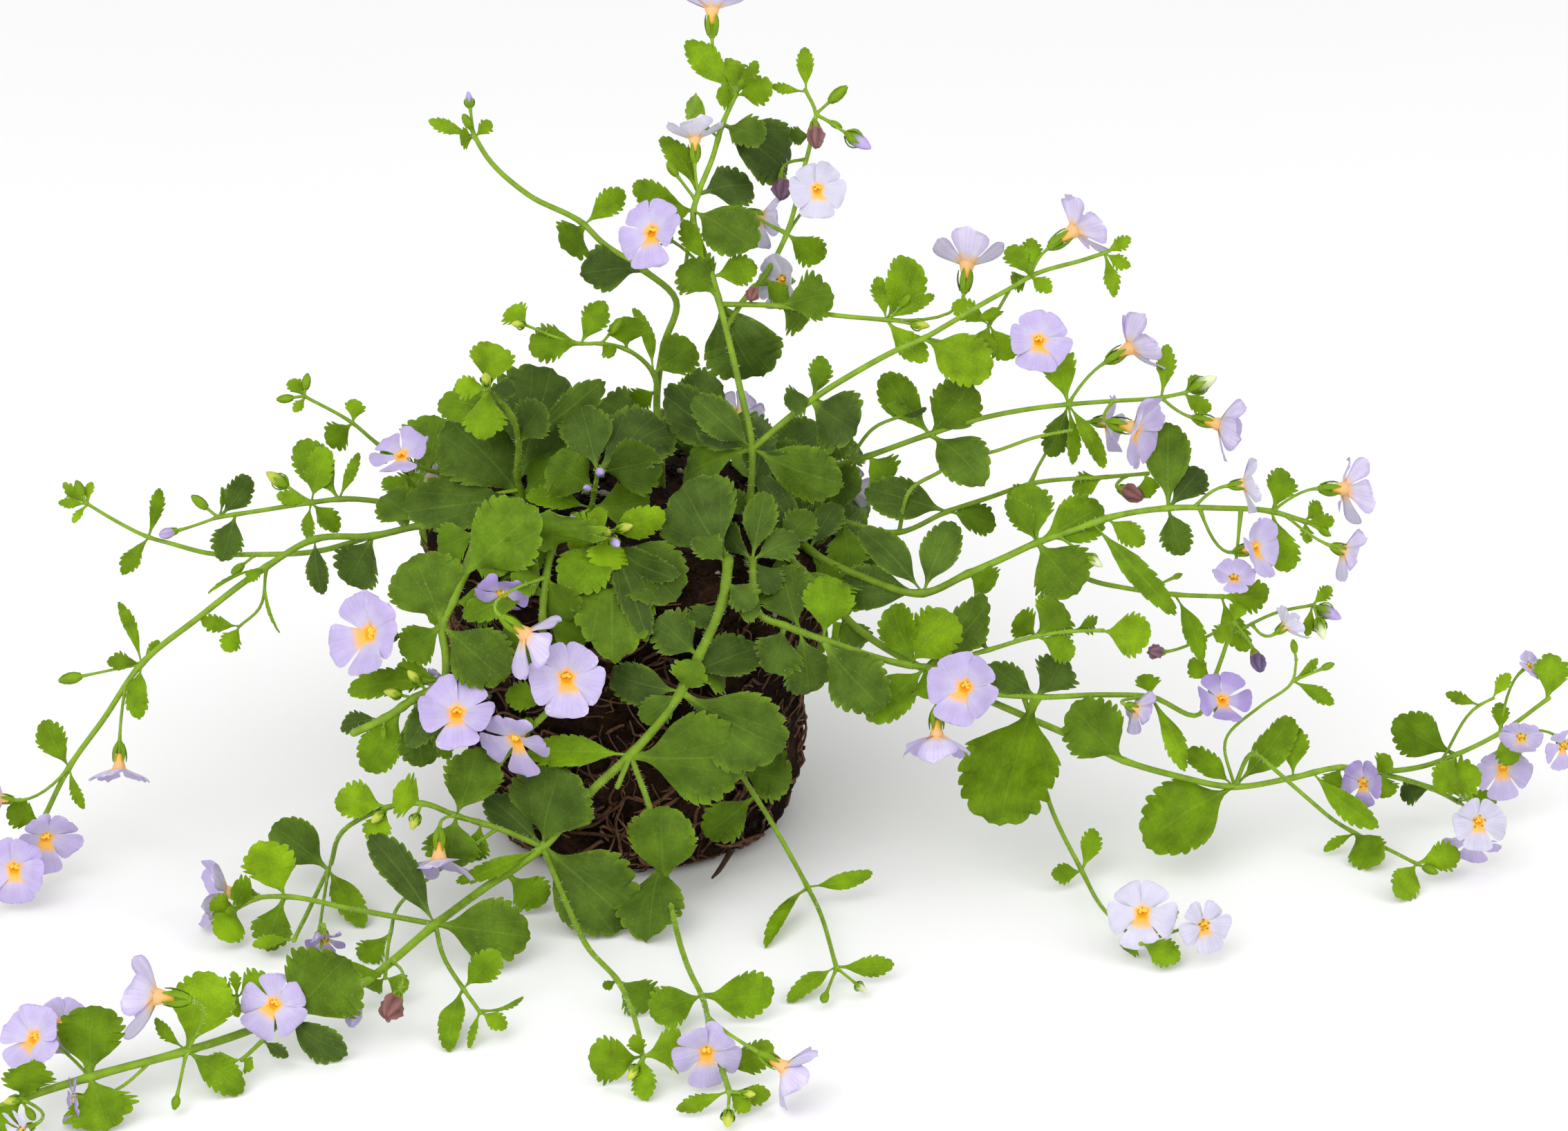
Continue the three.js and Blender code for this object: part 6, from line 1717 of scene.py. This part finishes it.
class BACOPA_OT_stage(Operator):
    """Sets up the floor, the lights, the white surroundings and the camera"""

    bl_idname = "bacopa.stage"
    bl_label = "Stage"

    def execute(self, context):
        scene = context.scene
        settings = scene.bacopa_stage
        add_floor(scene, settings)
        add_camera(scene)
        add_lamp(scene, "key", KEY_PLACE, KEY_SIZE, settings.key_power)
        add_lamp(scene, "fill", FILL_PLACE, FILL_SIZE, settings.key_power * FILL_SHARE)
        scene.world = bpy.data.worlds.new("surroundings")
        scene.world.use_nodes = True
        background = scene.world.node_tree.nodes["Background"]
        background.inputs["Color"].default_value = (1, 1, 1, 1)
        background.inputs["Strength"].default_value = settings.world_strength
        scene.view_settings.view_transform = "Standard"
        return {"FINISHED"}


class BACOPA_OT_root_ball(Operator):
    """Builds the root ball: peat, its web of roots, crumbs and white grains"""

    bl_idname = "bacopa.root_ball"
    bl_label = "Root ball"

    def execute(self, context):
        peat, roots, grains = (Heap(context, "ball") for _ in range(3))
        add_peat(peat)
        peat.make("root_ball_peat", "peat", "soil", "root_ball")
        add_roots(roots)
        add_dangling_root(roots)
        roots.make("root_ball_roots", "root", "soil", "root_ball")
        rng = grains.rng = roots.rng
        places, out = grain_places(grains.sizes.crumbs, rng, 0.45)
        reach = rng.uniform(0.5, 1.5, len(places))
        shade = rng.uniform(0.4, 1.3, (len(places), 1, 1, 1))
        add_grains(grains, places, out, reach, np.array(grains.colours.peat) * shade)
        places, out = grain_places(GRAIN_COUNT, rng, 0.6)
        reach = rng.uniform(0.6, 1.5, len(places))
        add_grains(grains, places + 0.3 * out, out, reach, grains.colours.perlite)
        grains.make("root_ball_crumbs", "root", "soil", "root_ball")
        return {"FINISHED"}


class BACOPA_OT_stems(Operator):
    """Builds the stems, the flower stalks, the calyces and the buds, with their hairs"""

    bl_idname = "bacopa.stems"
    bl_label = "Stems"

    def execute(self, context):
        return make_stem_pieces(context, "stem", add_stalks, "stalks", "stem", "green")


class BACOPA_OT_leaves(Operator):
    """Builds the leaves of each stem"""

    bl_idname = "bacopa.leaves"
    bl_label = "Leaves"

    def execute(self, context):
        return make_stem_pieces(context, "leaves", add_leaves, "leaves", "leaf blade", "green")


class BACOPA_OT_small_blooms(Operator):
    """Builds the small, closed and withered blooms, which are part of their stem's node"""

    bl_idname = "bacopa.small_blooms"
    bl_label = "Small blooms"

    def execute(self, context):
        return make_stem_pieces(context, "small blooms", add_small_blooms, "small_blooms",
                                "lilac petal", "petal_lilac")


class BACOPA_OT_blooms(Operator):
    """Builds the open blooms, one piece for each node"""

    bl_idname = "bacopa.blooms"
    bl_label = "Blooms"

    def execute(self, context):
        for name in STEMS:
            blooms = [bloom for shoot in shoots_of(name) for bloom in blooms_of(shoot)
                      if bloom.own]
            for number, bloom in enumerate(blooms, 1):
                heap = Heap(context, "bloom", name, str(number))
                add_open_bloom(heap, bloom)
                hue = "white" if bloom.kind == "white" else "lilac"
                heap.make(f"petals_{name}_{number}", f"{hue} petal", f"petal_{hue}",
                          f"bloom_{name}_{number}")
        return {"FINISHED"}


OPERATORS = (BACOPA_OT_stage, BACOPA_OT_root_ball, BACOPA_OT_stems, BACOPA_OT_leaves,
             BACOPA_OT_small_blooms, BACOPA_OT_blooms)
SETTINGS = {"bacopa_sizes": PlantSizes, "bacopa_colours": PlantColours,
            "bacopa_stage": StageSettings}


class BACOPA_PT_panel(Panel):
    """The plant's panel in the 3D view's sidebar"""

    bl_label = "Snowflake bacopa"
    bl_idname = "BACOPA_PT_panel"
    bl_space_type = "VIEW_3D"
    bl_region_type = "UI"
    bl_category = "Bacopa"

    def draw(self, context):
        for key in SETTINGS:
            group = getattr(context.scene, key)
            box = self.layout.box()
            for item in group.__annotations__:
                box.prop(group, item)
        for operator in OPERATORS:
            self.layout.operator(operator.bl_idname)


CLASSES = (*SETTINGS.values(), *OPERATORS, BACOPA_PT_panel)


def register():
    """Registers the classes and gives the scene its settings."""
    for item in CLASSES:
        bpy.utils.register_class(item)
    for key, group in SETTINGS.items():
        setattr(bpy.types.Scene, key, PointerProperty(type=group))


def unregister():
    """Takes the settings and the classes away again."""
    for key in SETTINGS:
        delattr(bpy.types.Scene, key)
    for item in reversed(CLASSES):
        bpy.utils.unregister_class(item)


def main():
    """Builds the plant and its stage."""
    register()
    bpy.ops.bacopa.stage()
    bpy.ops.bacopa.root_ball()
    bpy.ops.bacopa.stems()
    bpy.ops.bacopa.leaves()
    bpy.ops.bacopa.small_blooms()
    bpy.ops.bacopa.blooms()


if __name__ == "__main__":
    main()
